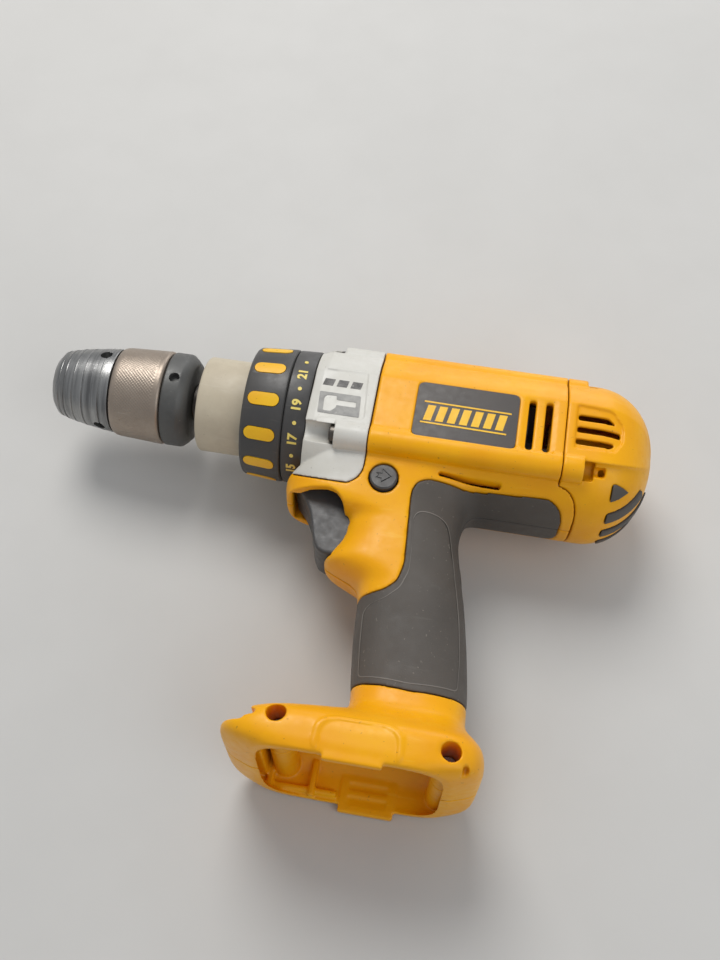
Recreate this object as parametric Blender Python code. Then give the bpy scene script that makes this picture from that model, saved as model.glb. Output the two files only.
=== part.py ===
"""Cordless hammer drill, lying on its right side, without its battery.

Working frame, in millimetres: the spindle's axis is y = 0, z = 0 and the chuck's tip is x = 0.
+X runs back to the motor's end cap, +Y runs up to the spine, and +Z is the tool's left side,
which faces up. The split between the two housing halves is z = 0.
WORLD_SHIFT moves all of it so that the origin is the bottom centre of the whole tool's box.
"""
import math

import bmesh
import bpy

MM = 0.001
GAP = 0.3                        # clearance between pieces that touch
HALF_WIDTH = 38.5                # half the width over the battery foot
REAR_X = 262.0                   # overall length
SPINE_Y = 32.4                   # highest point, the top of the speed selector
FOOT_Y = -156.5                  # lowest point of the battery latch tab
WORLD_SHIFT = (-REAR_X / 2, -(SPINE_Y + FOOT_Y) / 2, HALF_WIDTH)

# Stations along the spindle's axis.
NOSE_END = 29.4
SLEEVE_END = 52.4
CHUCK_END = 62.6
HANDLE_COLLAR = (68.1, 88.8)
TORQUE_COLLAR = (89.1, 107.0)
NUMBER_RING = (107.3, 117.0)
CASE = (117.3, 143.85)
BARREL = (144.15, 222.3)
BELLY_END = 231.5
CAP_START = 222.6
DOME_START = 236.0

# The motor housing's cross-section.
SPINE_RADIUS = 31.2
PANEL_Z = 30.3                   # the flat side that carries the label
PANEL_Y = (-19.0, 7.6)
BELLY_DEPTH = 36.0
BELLY_HALF = 31.0
BELLY_SQUARENESS = 2.4
UPPER_RIDGE = (21.5, 17.5)       # y and z of the upper screw ridges
UPPER_RIDGE_RADIUS = 5.6
LOWER_RIDGE = (-21.0, 26.0)
LOWER_RIDGE_RADIUS = 5.9
CHEEK_Y = -40.4                  # how far the gear case's cheeks reach down
CHEEK_FRONT = 108.0
CHEEK_SECTION = (                # y and z of the cheeks' cross-section, before the handle's skin
    (-20.0, 11.5), (-34.5, 11.5), (CHEEK_Y, 22.4), (CHEEK_Y, 60.0), (-20.0, 60.0),
)
CAP_FLOOR_Y = -27.8              # below this the housing, not the end cap, closes the rear
WALL = 3.4
RUBBER = 1.5                     # thickness of the soft covers

# The handle and foot: height, front, rear, half width and squareness of each level.
HANDLE_LEVELS = (
    (-16.0, 118.5, 186.0, 26.0, 4.0),
    (-28.0, 118.0, 189.0, 24.5, 4.0),
    (-32.5, 114.5, 190.0, 23.5, 3.5),
    (-35.5, 112.3, 189.5, 22.8, 3.2),
    (-38.0, 112.0, 188.5, 22.4, 3.0),
    (-41.0, 112.8, 187.8, 22.0, 3.0),
    (-44.0, 114.0, 187.2, 21.6, 3.0),
    (-46.5, 122.0, 186.8, 21.2, 2.9),
    (-50.0, 138.0, 186.5, 20.8, 2.8),
    (-55.0, 139.2, 187.2, 20.5, 2.7),
    (-60.0, 138.0, 188.3, 20.2, 2.6),
    (-64.5, 135.5, 189.3, 20.0, 2.6),
    (-67.5, 133.8, 190.0, 19.8, 2.6),
    (-70.0, 134.6, 190.4, 19.7, 2.6),
    (-72.5, 139.5, 190.9, 19.6, 2.6),
    (-76.0, 147.0, 191.7, 19.6, 2.6),
    (-81.0, 149.8, 192.8, 19.6, 2.6),
    (-98.0, 151.0, 195.8, 19.6, 2.6),
    (-114.0, 152.8, 198.0, 19.8, 2.6),
    (-122.0, 154.0, 198.4, 20.2, 2.8),
    (-128.0, 153.5, 198.8, 21.5, 3.2),
    (-132.0, 148.0, 200.5, 25.5, 4.0),
    (-136.0, 126.0, 203.0, 32.5, 5.0),
    (-139.5, 117.0, 205.5, 36.8, 5.0),
    (-143.0, 112.5, 206.5, 38.3, 5.0),
    (-147.0, 110.5, 206.5, HALF_WIDTH, 5.0),
    (-150.5, 114.0, 204.5, HALF_WIDTH, 5.0),
    (-153.5, 122.0, 196.0, HALF_WIDTH - 0.5, 5.0),
)
TRIGGER_MOUTH = (                # side view of what is cut away around the trigger
    (100.0, -58.0), (100.0, -43.6), (119.0, -43.3), (123.6, -42.8), (131.6, -42.7),
    (134.8, -43.8), (137.4, -46.2), (139.2, -49.5), (140.0, -53.5), (139.0, -58.0),
)
RUBBER_OUTLINE = (
    (164.8, -41.0), (165.2, -38.0), (167.0, -34.9), (171.0, -33.4), (186.0, -33.4),
    (192.0, -32.5), (222.0, -31.6), (228.5, -34.0), (231.0, -38.5), (231.0, -60.0),
    (206.0, -60.0), (206.0, -119.5), (176.0, -120.8), (144.0, -118.5), (144.0, -84.0),
    (154.0, -83.6), (160.4, -82.0), (165.0, -78.0), (166.6, -70.5),
)
TRIGGER_ROOM_Y = (-67.9, -36.8)
TRIGGER_OUTLINE = (
    (116.4, -37.1), (116.4, -39.1), (118.0, -40.5), (122.0, -45.0), (125.0, -50.5), (126.8, -56.5),
    (128.3, -62.0), (130.4, -66.0), (133.5, -67.6), (148.5, -67.6), (148.5, -46.8),
    (141.0, -45.5), (139.0, -37.1),
)
TRIGGER_HALF = 11.2
BUTTON_PLACE = (152.7, -35.9)    # x and y of the direction button
BUTTON_RADIUS = 5.6
CASE_SEATS = (127.6, 130.6)       # x of the upper and lower screw heads' seats on the gear case
CAP_SEAT = 228.4                 # x of the screw heads' seats on the end cap
LABEL_X = (161.5, 201.5)
LABEL_Y = (-18.4, 7.1)
LABEL_THICKNESS = 0.5

COLOURS = {                      # colour, roughness, metallic
    "yellow": ((0.95, 0.47, 0.008), 0.42, 0.0),
    "silver_paint": ((0.58, 0.56, 0.52), 0.45, 0.0),
    "cream_metal": ((0.52, 0.46, 0.36), 0.5, 0.2),
    "black_plastic": ((0.035, 0.035, 0.037), 0.45, 0.0),
    "rubber": ((0.085, 0.08, 0.072), 0.75, 0.0),
    "sleeve_steel": ((0.26, 0.23, 0.2), 0.45, 0.9),
    "worn_steel": ((0.32, 0.32, 0.32), 0.4, 1.0),
    "bright_steel": ((0.6, 0.6, 0.6), 0.25, 1.0),
    "copper": ((0.6, 0.26, 0.12), 0.35, 1.0),
    "brass": ((0.65, 0.48, 0.2), 0.3, 1.0),
    "switch_red": ((0.35, 0.03, 0.02), 0.5, 0.0),
    "carbon": ((0.03, 0.03, 0.03), 0.8, 0.0),
}


def clear_scene():
    for obj in list(bpy.data.objects):
        bpy.data.objects.remove(obj, do_unlink=True)


def material(name):
    found = bpy.data.materials.get(name)
    if found:
        return found
    colour, roughness, metallic = COLOURS[name]
    made = bpy.data.materials.new(name)
    made.use_nodes = True
    shader = made.node_tree.nodes["Principled BSDF"]
    shader.inputs["Base Color"].default_value = (*colour, 1.0)
    shader.inputs["Roughness"].default_value = roughness
    shader.inputs["Metallic"].default_value = metallic
    return made


def node(name, shape, finish, pivot=(0.0, 0.0, 0.0)):
    """Make the shape an object whose origin is the pivot, and free the shape."""
    bmesh.ops.remove_doubles(shape, verts=shape.verts, dist=0.0005)
    bmesh.ops.dissolve_degenerate(shape, edges=shape.edges, dist=0.0005)
    bmesh.ops.dissolve_limit(shape, angle_limit=math.radians(0.6), verts=shape.verts,
                             edges=shape.edges)
    stray = [edge for edge in shape.edges if not edge.link_faces]
    bmesh.ops.delete(shape, geom=stray, context="EDGES")
    for vert in shape.verts:
        vert.co = [(value - start) * MM for value, start in zip(vert.co, pivot)]
    mesh = bpy.data.meshes.new(name)
    shape.to_mesh(mesh)
    shape.free()
    mesh.shade_smooth()
    mesh.set_sharp_from_angle(angle=math.radians(32))
    mesh.materials.append(material(finish))
    obj = bpy.data.objects.new(name, mesh)
    obj.location = [(start + shift) * MM for start, shift in zip(pivot, WORLD_SHIFT)]
    bpy.context.scene.collection.objects.link(obj)
    return obj


# ---------------------------------------------------------------- basic shapes

def loft(rings):
    """A closed solid through rings that all have the same number of points."""
    shape = bmesh.new()
    levels = [[shape.verts.new(point) for point in ring] for ring in rings]
    count = len(rings[0])
    for lower, upper in zip(levels, levels[1:]):
        for index in range(count):
            after = (index + 1) % count
            shape.faces.new((lower[index], lower[after], upper[after], upper[index]))
    shape.faces.new(levels[0])
    shape.faces.new(levels[-1])
    bmesh.ops.recalc_face_normals(shape, faces=shape.faces)
    return shape


def prism(outline, low, high):
    """An (x, y) outline extruded along z."""
    return loft([[(x, y, z) for x, y in outline] for z in (low, high)])


def box(x_range, y_range, z_range):
    (left, right), (low, high) = x_range, y_range
    return prism(((left, low), (right, low), (right, high), (left, high)), *z_range)


def turned(profile, centre=(0.0, 0.0), steps=36):
    """A closed (x, radius) profile turned about a line along x."""
    shape = bmesh.new()
    rings = []
    for x, radius in profile:
        count = steps if radius > 0.0 else 1
        angles = [2 * math.pi * index / steps for index in range(count)]
        rings.append([
            shape.verts.new((x, centre[0] + radius * math.cos(angle),
                             centre[1] + radius * math.sin(angle)))
            for angle in angles
        ])
    for first, second in zip(rings, rings[1:] + rings[:1]):
        if len(first) == 1 and len(second) == 1:
            continue
        for index in range(steps):
            after = (index + 1) % steps
            corners = [first[index % len(first)], first[after % len(first)],
                       second[after % len(second)], second[index % len(second)]]
            shape.faces.new(list(dict.fromkeys(corners)))
    bmesh.ops.recalc_face_normals(shape, faces=shape.faces)
    return shape


def rod(x_range, radius, centre=(0.0, 0.0), steps=24):
    start, end = x_range
    return turned(((start, 0.0), (start, radius), (end, radius), (end, 0.0)), centre, steps)


def tube(x_range, inner, outer, centre=(0.0, 0.0), steps=36):
    start, end = x_range
    return turned(((start, inner), (start, outer), (end, outer), (end, inner)), centre, steps)


def cross_rod(x, y, z_range, radius, steps=20):
    """A round rod across the tool, along z."""
    angles = [2 * math.pi * index / steps for index in range(steps)]
    outline = [(x + radius * math.cos(a), y + radius * math.sin(a)) for a in angles]
    return prism(outline, *z_range)


def is_sound(operation, result, volumes):
    """Whether a Boolean's result is closed and has a volume that its inputs allow."""
    if any(len(edge.link_faces) != 2 for edge in result.edges):
        return False
    volume = result.calc_volume(signed=True)
    base, rest = volumes[0], volumes[1:]
    lowest, highest = {
        "UNION": (max(volumes), sum(volumes)),
        "DIFFERENCE": (base - sum(rest), base),
        "INTERSECT": (0.0, min(volumes)),
    }[operation]
    return max(lowest - 1.0, 1.0) < volume < highest + 1.0


def combined(operation, base, *tools):
    """The base joined with, cut by or kept inside each tool. Frees what it is given.

    The exact solver comes first. Where it leaves an open edge or loses a piece, as it can where
    the handle's and the barrel's skins cross, the manifold solver makes the same cut.
    """
    objects = []
    volumes = []
    for shape in (base, *tools):
        mesh = bpy.data.meshes.new("work")
        shape.to_mesh(mesh)
        volumes.append(shape.calc_volume(signed=True))
        shape.free()
        obj = bpy.data.objects.new("work", mesh)
        obj.hide_render = True
        obj.display_type = "WIRE"
        bpy.context.scene.collection.objects.link(obj)
        objects.append(obj)
    steps = []
    for tool in objects[1:]:
        step = objects[0].modifiers.new("step", "BOOLEAN")
        step.operation = operation
        step.object = tool
        steps.append(step)
    for solver in ("EXACT", "MANIFOLD"):
        for step in steps:
            step.solver = solver
        graph = bpy.context.evaluated_depsgraph_get()
        result = bmesh.new()
        result.from_mesh(bpy.data.meshes.new_from_object(objects[0].evaluated_get(graph)))
        if is_sound(operation, result, volumes):
            break
    for obj in objects:
        bpy.data.objects.remove(obj, do_unlink=True)
    return result


def cut(base, *tools):
    return combined("DIFFERENCE", base, *tools)


def joined(base, *tools):
    return combined("UNION", base, *tools)


def kept_inside(base, *tools):
    return combined("INTERSECT", base, *tools)


def mirrored(shape):
    """A copy on the other side of the tool's middle."""
    copy = shape.copy()
    for vert in copy.verts:
        vert.co.z = -vert.co.z
    bmesh.ops.reverse_faces(copy, faces=copy.faces)
    return copy


def both_sides(shape):
    return shape, mirrored(shape)


# ---------------------------------------------------------------- the housing's surfaces

def barrel_reach(angle, inset):
    """Distance from the axis to the motor housing's side, at an angle from +Y towards +Z."""
    up, side = math.cos(angle), abs(math.sin(angle))
    reach = SPINE_RADIUS
    if up < 0.0:
        spread = ((-up / BELLY_DEPTH) ** BELLY_SQUARENESS
                  + (side / BELLY_HALF) ** BELLY_SQUARENESS)
        reach = spread ** (-1.0 / BELLY_SQUARENESS)
    if side > 0.3:
        panel = PANEL_Z / side
        if PANEL_Y[0] <= panel * up <= PANEL_Y[1]:
            reach = panel
    return reach - inset


def barrel_ring(x, inset, scale=1.0, steps=48):
    angles = [2 * math.pi * index / steps for index in range(steps)]
    reaches = [barrel_reach(angle, inset) * scale for angle in angles]
    return [(x, reach * math.cos(a), reach * math.sin(a)) for a, reach in zip(angles, reaches)]


def barrel(x_range, inset=0.0, steps=48):
    return loft([barrel_ring(x, inset, steps=steps) for x in x_range])


def ridge(centre, radius, x_range):
    return rod(x_range, radius, centre, steps=16)


def ridges(x_range, grow=0.0, upper_start=None):
    """The four screw ridges over a stretch of the tool."""
    upper = ridge(UPPER_RIDGE, UPPER_RIDGE_RADIUS + grow, (upper_start or x_range[0], x_range[1]))
    lower = ridge(LOWER_RIDGE, LOWER_RIDGE_RADIUS + grow, x_range)
    return (*both_sides(upper), *both_sides(lower))


def handle(inset=0.0, end=None, steps=24):
    """The grip, trigger housing and foot as one loft from top to bottom."""
    rings = []
    for y, front, rear, half, square in HANDLE_LEVELS:
        middle = (front + rear) / 2
        reach = (rear - front) / 2 - inset
        ring = []
        for index in range(steps):
            angle = 2 * math.pi * index / steps
            along = math.copysign(abs(math.cos(angle)) ** (2 / square), math.cos(angle))
            across = math.copysign(abs(math.sin(angle)) ** (2 / square), math.sin(angle))
            ring.append((middle + reach * along, y, (half - inset) * across))
        rings.append(ring)
    if end is not None:
        rings.append([(x, end, z) for x, y, z in rings[-1]])
    return loft(rings)


def housing_outside(inset=0.0, foot_end=None):
    """The outer surface of both housing halves together, or one a little inside it."""
    body = joined(barrel((BARREL[0] - inset, BELLY_END + inset), inset), handle(inset, foot_end))
    return body


def dome(inset=0.0, steps=40):
    """The end cap's outer surface: a straight stretch and then a rounded end."""
    depth = REAR_X - DOME_START
    rings = [barrel_ring(CAP_START - 1.0, inset, steps=steps)]
    for degrees in (0, 25, 45, 63, 80):
        turn = math.radians(degrees)
        x = DOME_START + (depth - inset) * math.sin(turn)
        rings.append(barrel_ring(x, inset, math.cos(turn) ** 0.9, steps))
    return loft(rings)


def case_outside(grow=0.0):
    """The gear case with its four ridges, two cheeks, and a notch for the housing's lip."""
    start, end = CASE[0] - grow, CASE[1] + grow
    body = loft([
        barrel_ring(start, 1.6 - grow),
        barrel_ring(start + 5.0, -grow),
        barrel_ring(end, -grow),
    ])
    notch_half = TRIGGER_HALF + GAP - grow
    notch = box((start - 1.0, end + 1.0), (-60.0, -33.0 - grow), (-notch_half, notch_half))
    low = CHEEK_Y - grow
    front = CHEEK_FRONT - grow
    side_view = ((front, -20.0), (front, low), (138.6, low), (141.6, low + 1.4),
                 (end - 0.7, low + 3.6), (end, low + 6.0), (end, -20.0))
    section = loft([[(x, y - grow, z - grow) for y, z in CHEEK_SECTION] for x in (90.0, 160.0)])
    cheek = kept_inside(handle(-grow), prism(side_view, 0.0, 60.0), section)
    ring_room = rod((80.0, start), 29.9 - grow, steps=48)
    body = joined(body, *ridges((130.0 - grow, end), grow, upper_start=127.0 - grow),
                  *both_sides(cheek))
    return cut(body, notch, ring_room)


# ---------------------------------------------------------------- covers

def grown(outline, distance):
    """The outline with each edge moved outwards; the points run clockwise."""
    moved = []
    for before, here, after in zip(outline[-1:] + outline[:-1], outline, outline[1:] + outline[:1]):
        first = math.atan2(here[1] - before[1], here[0] - before[0]) + math.pi / 2
        second = math.atan2(after[1] - here[1], after[0] - here[0]) + math.pi / 2
        middle = (first + second) / 2
        if abs(first - second) > math.pi:
            middle += math.pi
        reach = distance / math.cos((first - second) / 2) * math.copysign(
            1.0, math.cos(middle - first))
        reach = abs(reach)
        moved.append((here[0] + reach * math.cos(middle), here[1] + reach * math.sin(middle)))
    return tuple(moved)


def rubber_region(grow=0.0):
    """Everything inside the soft cover's outline."""
    return prism(grown(RUBBER_OUTLINE, grow), -60.0, 60.0)


def side_slots():
    """The vents and the label's recess in the left half."""
    cuts = []
    for start in (206.8, 213.8):
        cuts.append(box((start, start + 2.9), (-18.4, 4.6), (24.0, 40.0)))
    cuts.append(box((174.0, 200.0), (-31.0, -29.8), (15.0, 40.0)))
    cuts.append(prism(label_outline(GAP), PANEL_Z - LABEL_THICKNESS - GAP, 40.0))
    return cuts


def label_outline(grow=0.0, radius=2.4, steps=4):
    """The label's rectangle with rounded corners."""
    (left, right), (low, high) = LABEL_X, LABEL_Y
    points = []
    for x, y, first in ((right, high, 0), (left, high, 90), (left, low, 180), (right, low, 270)):
        middle_x = x - math.copysign(radius, x - (left + right) / 2)
        middle_y = y - math.copysign(radius, y - (low + high) / 2)
        for index in range(steps + 1):
            angle = math.radians(first + 90.0 * index / steps)
            points.append((middle_x + (radius + grow) * math.cos(angle),
                           middle_y + (radius + grow) * math.sin(angle)))
    return points


def foot_screw_places():
    return ((131.5, -141.5), (193.5, -145.0))


def housing_shell():
    """Both halves in one piece, hollow, with every opening cut."""
    shell = housing_outside()
    bosses = [cross_rod(x, y, (-36.0, 36.0), 5.2) for x, y in foot_screw_places()]
    hollow = joined(barrel((CASE[0], BELLY_END - WALL), WALL, steps=24),
                    handle(WALL, -170.0, steps=16))
    hollow = cut(hollow, *ridges((CASE[0], 240.0), -1.6))
    shell = joined(shell, *ridges(BARREL))
    shell = cut(shell, hollow)
    shell = joined(shell, *[kept_inside(boss, housing_outside(1.0)) for boss in bosses])
    cap_room = box((BARREL[1], 270.0), (CAP_FLOOR_Y, 60.0), (-60.0, 60.0))
    trigger_room = box((116.0, 152.0), TRIGGER_ROOM_Y, (-TRIGGER_HALF - GAP, TRIGGER_HALF + GAP))
    selector_room = box((148.5, 171.5), (26.0, 40.0), (-6.8, 6.8))
    button_room = cross_rod(*BUTTON_PLACE, (-50.0, 50.0), BUTTON_RADIUS + GAP)
    mouth = prism(TRIGGER_MOUTH, -60.0, 60.0)
    clearance = rod((80.0, CASE[0]), 29.9, steps=48)
    shell = cut(shell, cap_room, trigger_room, selector_room, button_room, mouth, clearance,
                case_outside(GAP))
    return shell


def housing_halves():
    shell = housing_shell()
    rubber_space = cut(rubber_region(GAP), housing_outside(RUBBER + GAP, -158.0))
    shell = cut(shell, rubber_space)
    screws = []
    for y, z in (UPPER_RIDGE, LOWER_RIDGE):
        screws += both_sides(rod((140.0, 172.0), 2.1, (y, z), 12))
        screws += both_sides(rod((196.0, 240.0), 2.1, (y, z), 12))
    shell = cut(shell, *screws)
    half_space = box((90.0, 280.0), (-180.0, 60.0), (GAP / 2, 60.0))
    left = kept_inside(shell.copy(), half_space.copy())
    right = kept_inside(shell, mirrored(half_space))
    half_space.free()
    head_bores = [cross_rod(x, y, (14.0, 50.0), 3.6) for x, y in foot_screw_places()]
    shank_bores = [cross_rod(x, y, (-22.0, 40.0), 2.1, 12) for x, y in foot_screw_places()]
    mirrored_slots = [mirrored(slot) for slot in side_slots()]
    left = cut(left, *side_slots(), *head_bores, *[bore.copy() for bore in shank_bores])
    right = cut(right, *mirrored_slots, *shank_bores)
    tab = box((155.0, 176.0), (FOOT_Y, -150.0), (-HALF_WIDTH + 0.4, -HALF_WIDTH + 4.0))
    lip = box((150.0, 171.0), (-155.4, -150.0), (HALF_WIDTH - 3.6, HALF_WIDTH - 0.2))
    node("housing_left", joined(left, lip), "yellow")
    node("housing_right", joined(right, tab), "yellow")


def grip_covers():
    for side in ("left", "right"):
        low = GAP / 2 if side == "left" else -60.0
        half = box((100.0, 280.0), (-130.0, 0.0), (low, low + 60.0 - GAP / 2))
        cover = kept_inside(housing_outside(), rubber_region(), half)
        node(f"grip_rubber_{side}", cut(cover, housing_outside(RUBBER, -158.0)), "rubber")


def gear_case():
    body = case_outside()
    bore = turned(((100.0, 0.0), (100.0, 18.6), (120.8, 18.6), (120.8, 24.6), (160.0, 24.6),
                   (160.0, 0.0)))
    pockets = []
    for (y, z), seat in zip((UPPER_RIDGE, LOWER_RIDGE), CASE_SEATS):
        pockets += both_sides(rod((100.0, seat), 4.1, (y, z), 16))
        pockets += both_sides(rod((100.0, 160.0), 2.1, (y, z), 12))
    node("gear_case", cut(body, bore, *pockets), "silver_paint")


def end_cap():
    body = joined(dome(), *ridges((CAP_START - 1.0, 231.0)))
    hollow = cut(dome(WALL - 0.6, steps=24), *ridges((200.0, 231.0), -1.6))
    body = cut(body, hollow)
    holder = tube((217.5, 259.5), 9.9, 12.6, steps=20)
    body = joined(body, kept_inside(holder, box((217.0, 259.0), (-20.0, 20.0), (-20.0, 20.0))))
    trims = [box((200.0, CAP_START), (-60.0, 60.0), (12.9, 60.0)),
             box((200.0, CAP_START), (-60.0, 60.0), (-60.0, -12.9)),
             box((200.0, CAP_START), (12.9, 60.0), (-60.0, 60.0)),
             box((200.0, CAP_START), (-60.0, -12.9), (-60.0, 60.0)),
             box((200.0, BELLY_END + GAP), (-60.0, CAP_FLOOR_Y + GAP), (-60.0, 60.0))]
    for index, y in enumerate((-11.0, -5.2, 0.6)):
        slot = box((229.0, 248.0 - 3.0 * abs(index - 1)), (y, y + 2.9), (12.0, 60.0))
        trims += both_sides(slot)
    for y, z in (UPPER_RIDGE, LOWER_RIDGE):
        trims += both_sides(rod((CAP_SEAT, 260.0), 4.1, (y, z), 16))
        trims += both_sides(rod((210.0, 240.0), 2.1, (y, z), 12))
    body = cut(body, *trims)
    fins = bumper_fins(GAP)
    skin = cut(fins, dome(1.3 + GAP))
    node("end_cap", cut(body, skin), "yellow")


def bumper_fins(grow=0.0):
    """Five upright strips over the lower rear corner, tied together underneath."""
    fins = [box((244.0 - grow, 270.0), (-60.0, -13.0 - 5.5 * abs(row) + grow),
                (10.6 * row - 2.4 - grow, 10.6 * row + 2.4 + grow)) for row in (-2, -1, 0, 1, 2)]
    tie = box((244.0 - grow, 248.0 + grow), (-60.0, -27.0 + grow), (-23.6 - grow, 23.6 + grow))
    return joined(tie, *fins)


def rear_bumper():
    skin = cut(dome(-0.7), dome(1.3))
    node("rear_bumper", kept_inside(skin, bumper_fins()), "rubber")


def label_plates():
    for side, sign in (("left", 1.0), ("right", -1.0)):
        faces = sorted((sign * (PANEL_Z - LABEL_THICKNESS), sign * (PANEL_Z + 0.1)))
        node(f"label_plate_{side}", prism(label_outline(), *faces), "black_plastic")


# ---------------------------------------------------------------- chuck and spindle

JAW_TILT = math.radians(12.0)
JAW_RADIUS = 3.0
JAW_TIP_OFFSET = 3.9             # from the axis to a closed jaw's own centre line at the tip
JAW_LENGTH = 24.0
JAW_TRAVEL = 12.0


def jaw_rod(turn, start, end, radius, steps=16):
    """A rod along one jaw's slanted line, from start to end along that line."""
    def ring(distance):
        x = 1.0 + distance * math.cos(JAW_TILT)
        offset = JAW_TIP_OFFSET + distance * math.sin(JAW_TILT)
        points = []
        for index in range(steps):
            angle = 2 * math.pi * index / steps
            out = radius * math.cos(angle)
            across = radius * math.sin(angle)
            points.append((x - out * math.sin(JAW_TILT), offset + out * math.cos(JAW_TILT), across))
        return [(px, py * math.cos(turn) - pz * math.sin(turn),
                 py * math.sin(turn) + pz * math.cos(turn)) for px, py, pz in points]
    return loft([ring(start), ring(end)])


def jaw_turns():
    return [math.radians(30.0 + 120.0 * index) for index in range(3)]


def chuck():
    body = turned((
        (2.0, 4.2), (2.0, 11.5), (4.0, 14.2), (14.0, 16.8), (22.0, 18.0), (NOSE_END - 1.2, 18.6),
        (NOSE_END - 0.4, 16.0), (60.0, 16.0), (CHUCK_END, 13.0), (CHUCK_END, 6.9), (46.0, 6.9),
        (46.0, 2.0), (26.0, 2.0), (26.0, 4.2)), steps=28)
    bores = [jaw_rod(turn, -8.0, JAW_LENGTH + JAW_TRAVEL + 2.0, JAW_RADIUS + GAP)
             for turn in jaw_turns()]
    node("chuck_body", cut(body, *bores), "worn_steel")
    for index, turn in enumerate(jaw_turns()):
        jaw = jaw_rod(turn, 0.0, JAW_LENGTH, JAW_RADIUS)
        node(f"chuck_jaw_{index + 1}", jaw, "bright_steel")
    sleeve = turned((
        (NOSE_END, 16.6), (NOSE_END, 18.6), (NOSE_END + 1.2, 19.5), (NOSE_END + 20.5, 20.6),
        (SLEEVE_END - 0.6, 20.3), (SLEEVE_END - 0.6, 16.3)), steps=28)
    node("chuck_sleeve", sleeve, "sleeve_steel")
    ring = turned((
        (SLEEVE_END, 16.3), (SLEEVE_END, 20.2), (SLEEVE_END + 1.0, 20.5), (CHUCK_END - 3.2, 20.5),
        (CHUCK_END - 0.6, 18.5), (CHUCK_END - 0.6, 16.3)), steps=28)
    node("chuck_ring", ring, "black_plastic")


def spindle():
    node("spindle", turned((
        (46.3, 0.0), (46.3, 5.6), (47.3, 6.6), (66.0, 6.6), (66.0, 8.0), (84.0, 8.0),
        (84.0, 11.5), (87.0, 11.5), (87.0, 8.0), (120.2, 8.0), (120.2, 0.0)), steps=16),
        "bright_steel")
    node("spindle_bearing", tube((72.0, 83.7), 8.3, 16.6, steps=24), "bright_steel")


# ---------------------------------------------------------------- gearbox and clutch

GEAR_MODULE = 0.8
SUN_TEETH = 12
PLANET_TEETH = 18
RING_TEETH = SUN_TEETH + 2 * PLANET_TEETH
PLANET_RADIUS = GEAR_MODULE * (SUN_TEETH + PLANET_TEETH) / 2


def toothed_ring(x, teeth, tooth_reach, root_reach, centre=(0.0, 0.0)):
    """One level of a gear's outline, with a point at each tip and each root."""
    points = []
    for index in range(2 * teeth):
        reach = root_reach if index % 2 else tooth_reach
        angle = math.pi * index / teeth
        points.append((x, centre[0] + reach * math.cos(angle), centre[1] + reach * math.sin(angle)))
    return points


def gear(x_range, teeth, centre=(0.0, 0.0), bore=2.8):
    pitch = GEAR_MODULE * teeth / 2
    rings = [toothed_ring(x, teeth, pitch - 0.25, pitch - 1.0, centre) for x in x_range]
    hole = rod((x_range[0] - 1.0, x_range[1] + 1.0), bore, centre, 16)
    return cut(loft(rings), hole)


def planet_places():
    turns = [2 * math.pi * index / 3 for index in range(3)]
    return [(PLANET_RADIUS * math.cos(turn), PLANET_RADIUS * math.sin(turn)) for turn in turns]


def gearbox():
    disc = rod((120.5, 124.5), 17.5, steps=24)
    pins = [rod((124.0, 133.5), 2.2, place, 12) for place in planet_places()]
    node("planet_carrier", joined(disc, *pins), "bright_steel")
    for index, place in enumerate(planet_places()):
        node(f"planet_gear_{index + 1}", gear((124.9, 133.0), PLANET_TEETH, place, 2.5),
             "bright_steel", (128.95, *place))
    node("motor_pinion", gear((125.2, 139.0), SUN_TEETH), "bright_steel")
    pitch = GEAR_MODULE * RING_TEETH / 2
    bore = loft([toothed_ring(x, RING_TEETH, pitch + 1.0, pitch + 0.25) for x in (100.0, 160.0)])
    node("ring_gear", cut(rod((124.8, 139.5), 24.2, steps=32), bore), "bright_steel")


def spring(name, start, end, coil, wire, turns, centre=(0.0, 0.0), steps=16, sides=6):
    """A coil spring along x."""
    rings = []
    total = int(turns * steps)
    for index in range(total + 1):
        angle = 2 * math.pi * index / steps
        x = start + wire + (end - start - 2 * wire) * index / total
        ring = []
        for side in range(sides):
            around = 2 * math.pi * side / sides
            reach = coil + wire * math.cos(around)
            ring.append((x + wire * math.sin(around), centre[0] + reach * math.cos(angle),
                         centre[1] + reach * math.sin(angle)))
        rings.append(ring)
    node(name, loft(rings), "bright_steel")


def clutch():
    nose = turned((
        (HANDLE_COLLAR[0], 16.9), (HANDLE_COLLAR[0], 20.2), (HANDLE_COLLAR[0] + 0.8, 20.8),
        (HANDLE_COLLAR[1], 20.8), (HANDLE_COLLAR[1], 18.2), (CASE[0] + 0.6, 18.2),
        (CASE[0] + 0.6, 12.0), (CASE[0] - 1.6, 12.0), (CASE[0] - 4.0, 15.2),
        (HANDLE_COLLAR[1], 15.2), (HANDLE_COLLAR[1] - 3.0, 16.9)), steps=28)
    node("side_handle_collar", nose, "cream_metal")
    start, end = TORQUE_COLLAR
    collar = turned((
        (start, 18.6), (start, 26.8), (start + 1.2, 27.8), (end - 0.8, 29.1), (end, 28.6),
        (end, 24.2), (start + 4.0, 24.2), (start + 4.0, 18.6)), steps=36)
    node("torque_collar", collar, "black_plastic")
    start, end = NUMBER_RING
    node("torque_number_ring", turned((
        (start, 24.2), (start, 29.0), (end - 0.8, 29.4), (end, 28.9), (end, 24.2)), steps=36),
        "black_plastic")
    node("clutch_nut", tube((98.0, 102.5), 18.6, 23.8, steps=24), "bright_steel")
    spring("clutch_spring", 102.9, 112.5, 21.2, 1.2, 2.5, steps=12, sides=5)
    node("clutch_plate", tube((112.9, 116.4), 18.6, 23.6, steps=24), "bright_steel")


# ---------------------------------------------------------------- motor

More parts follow.
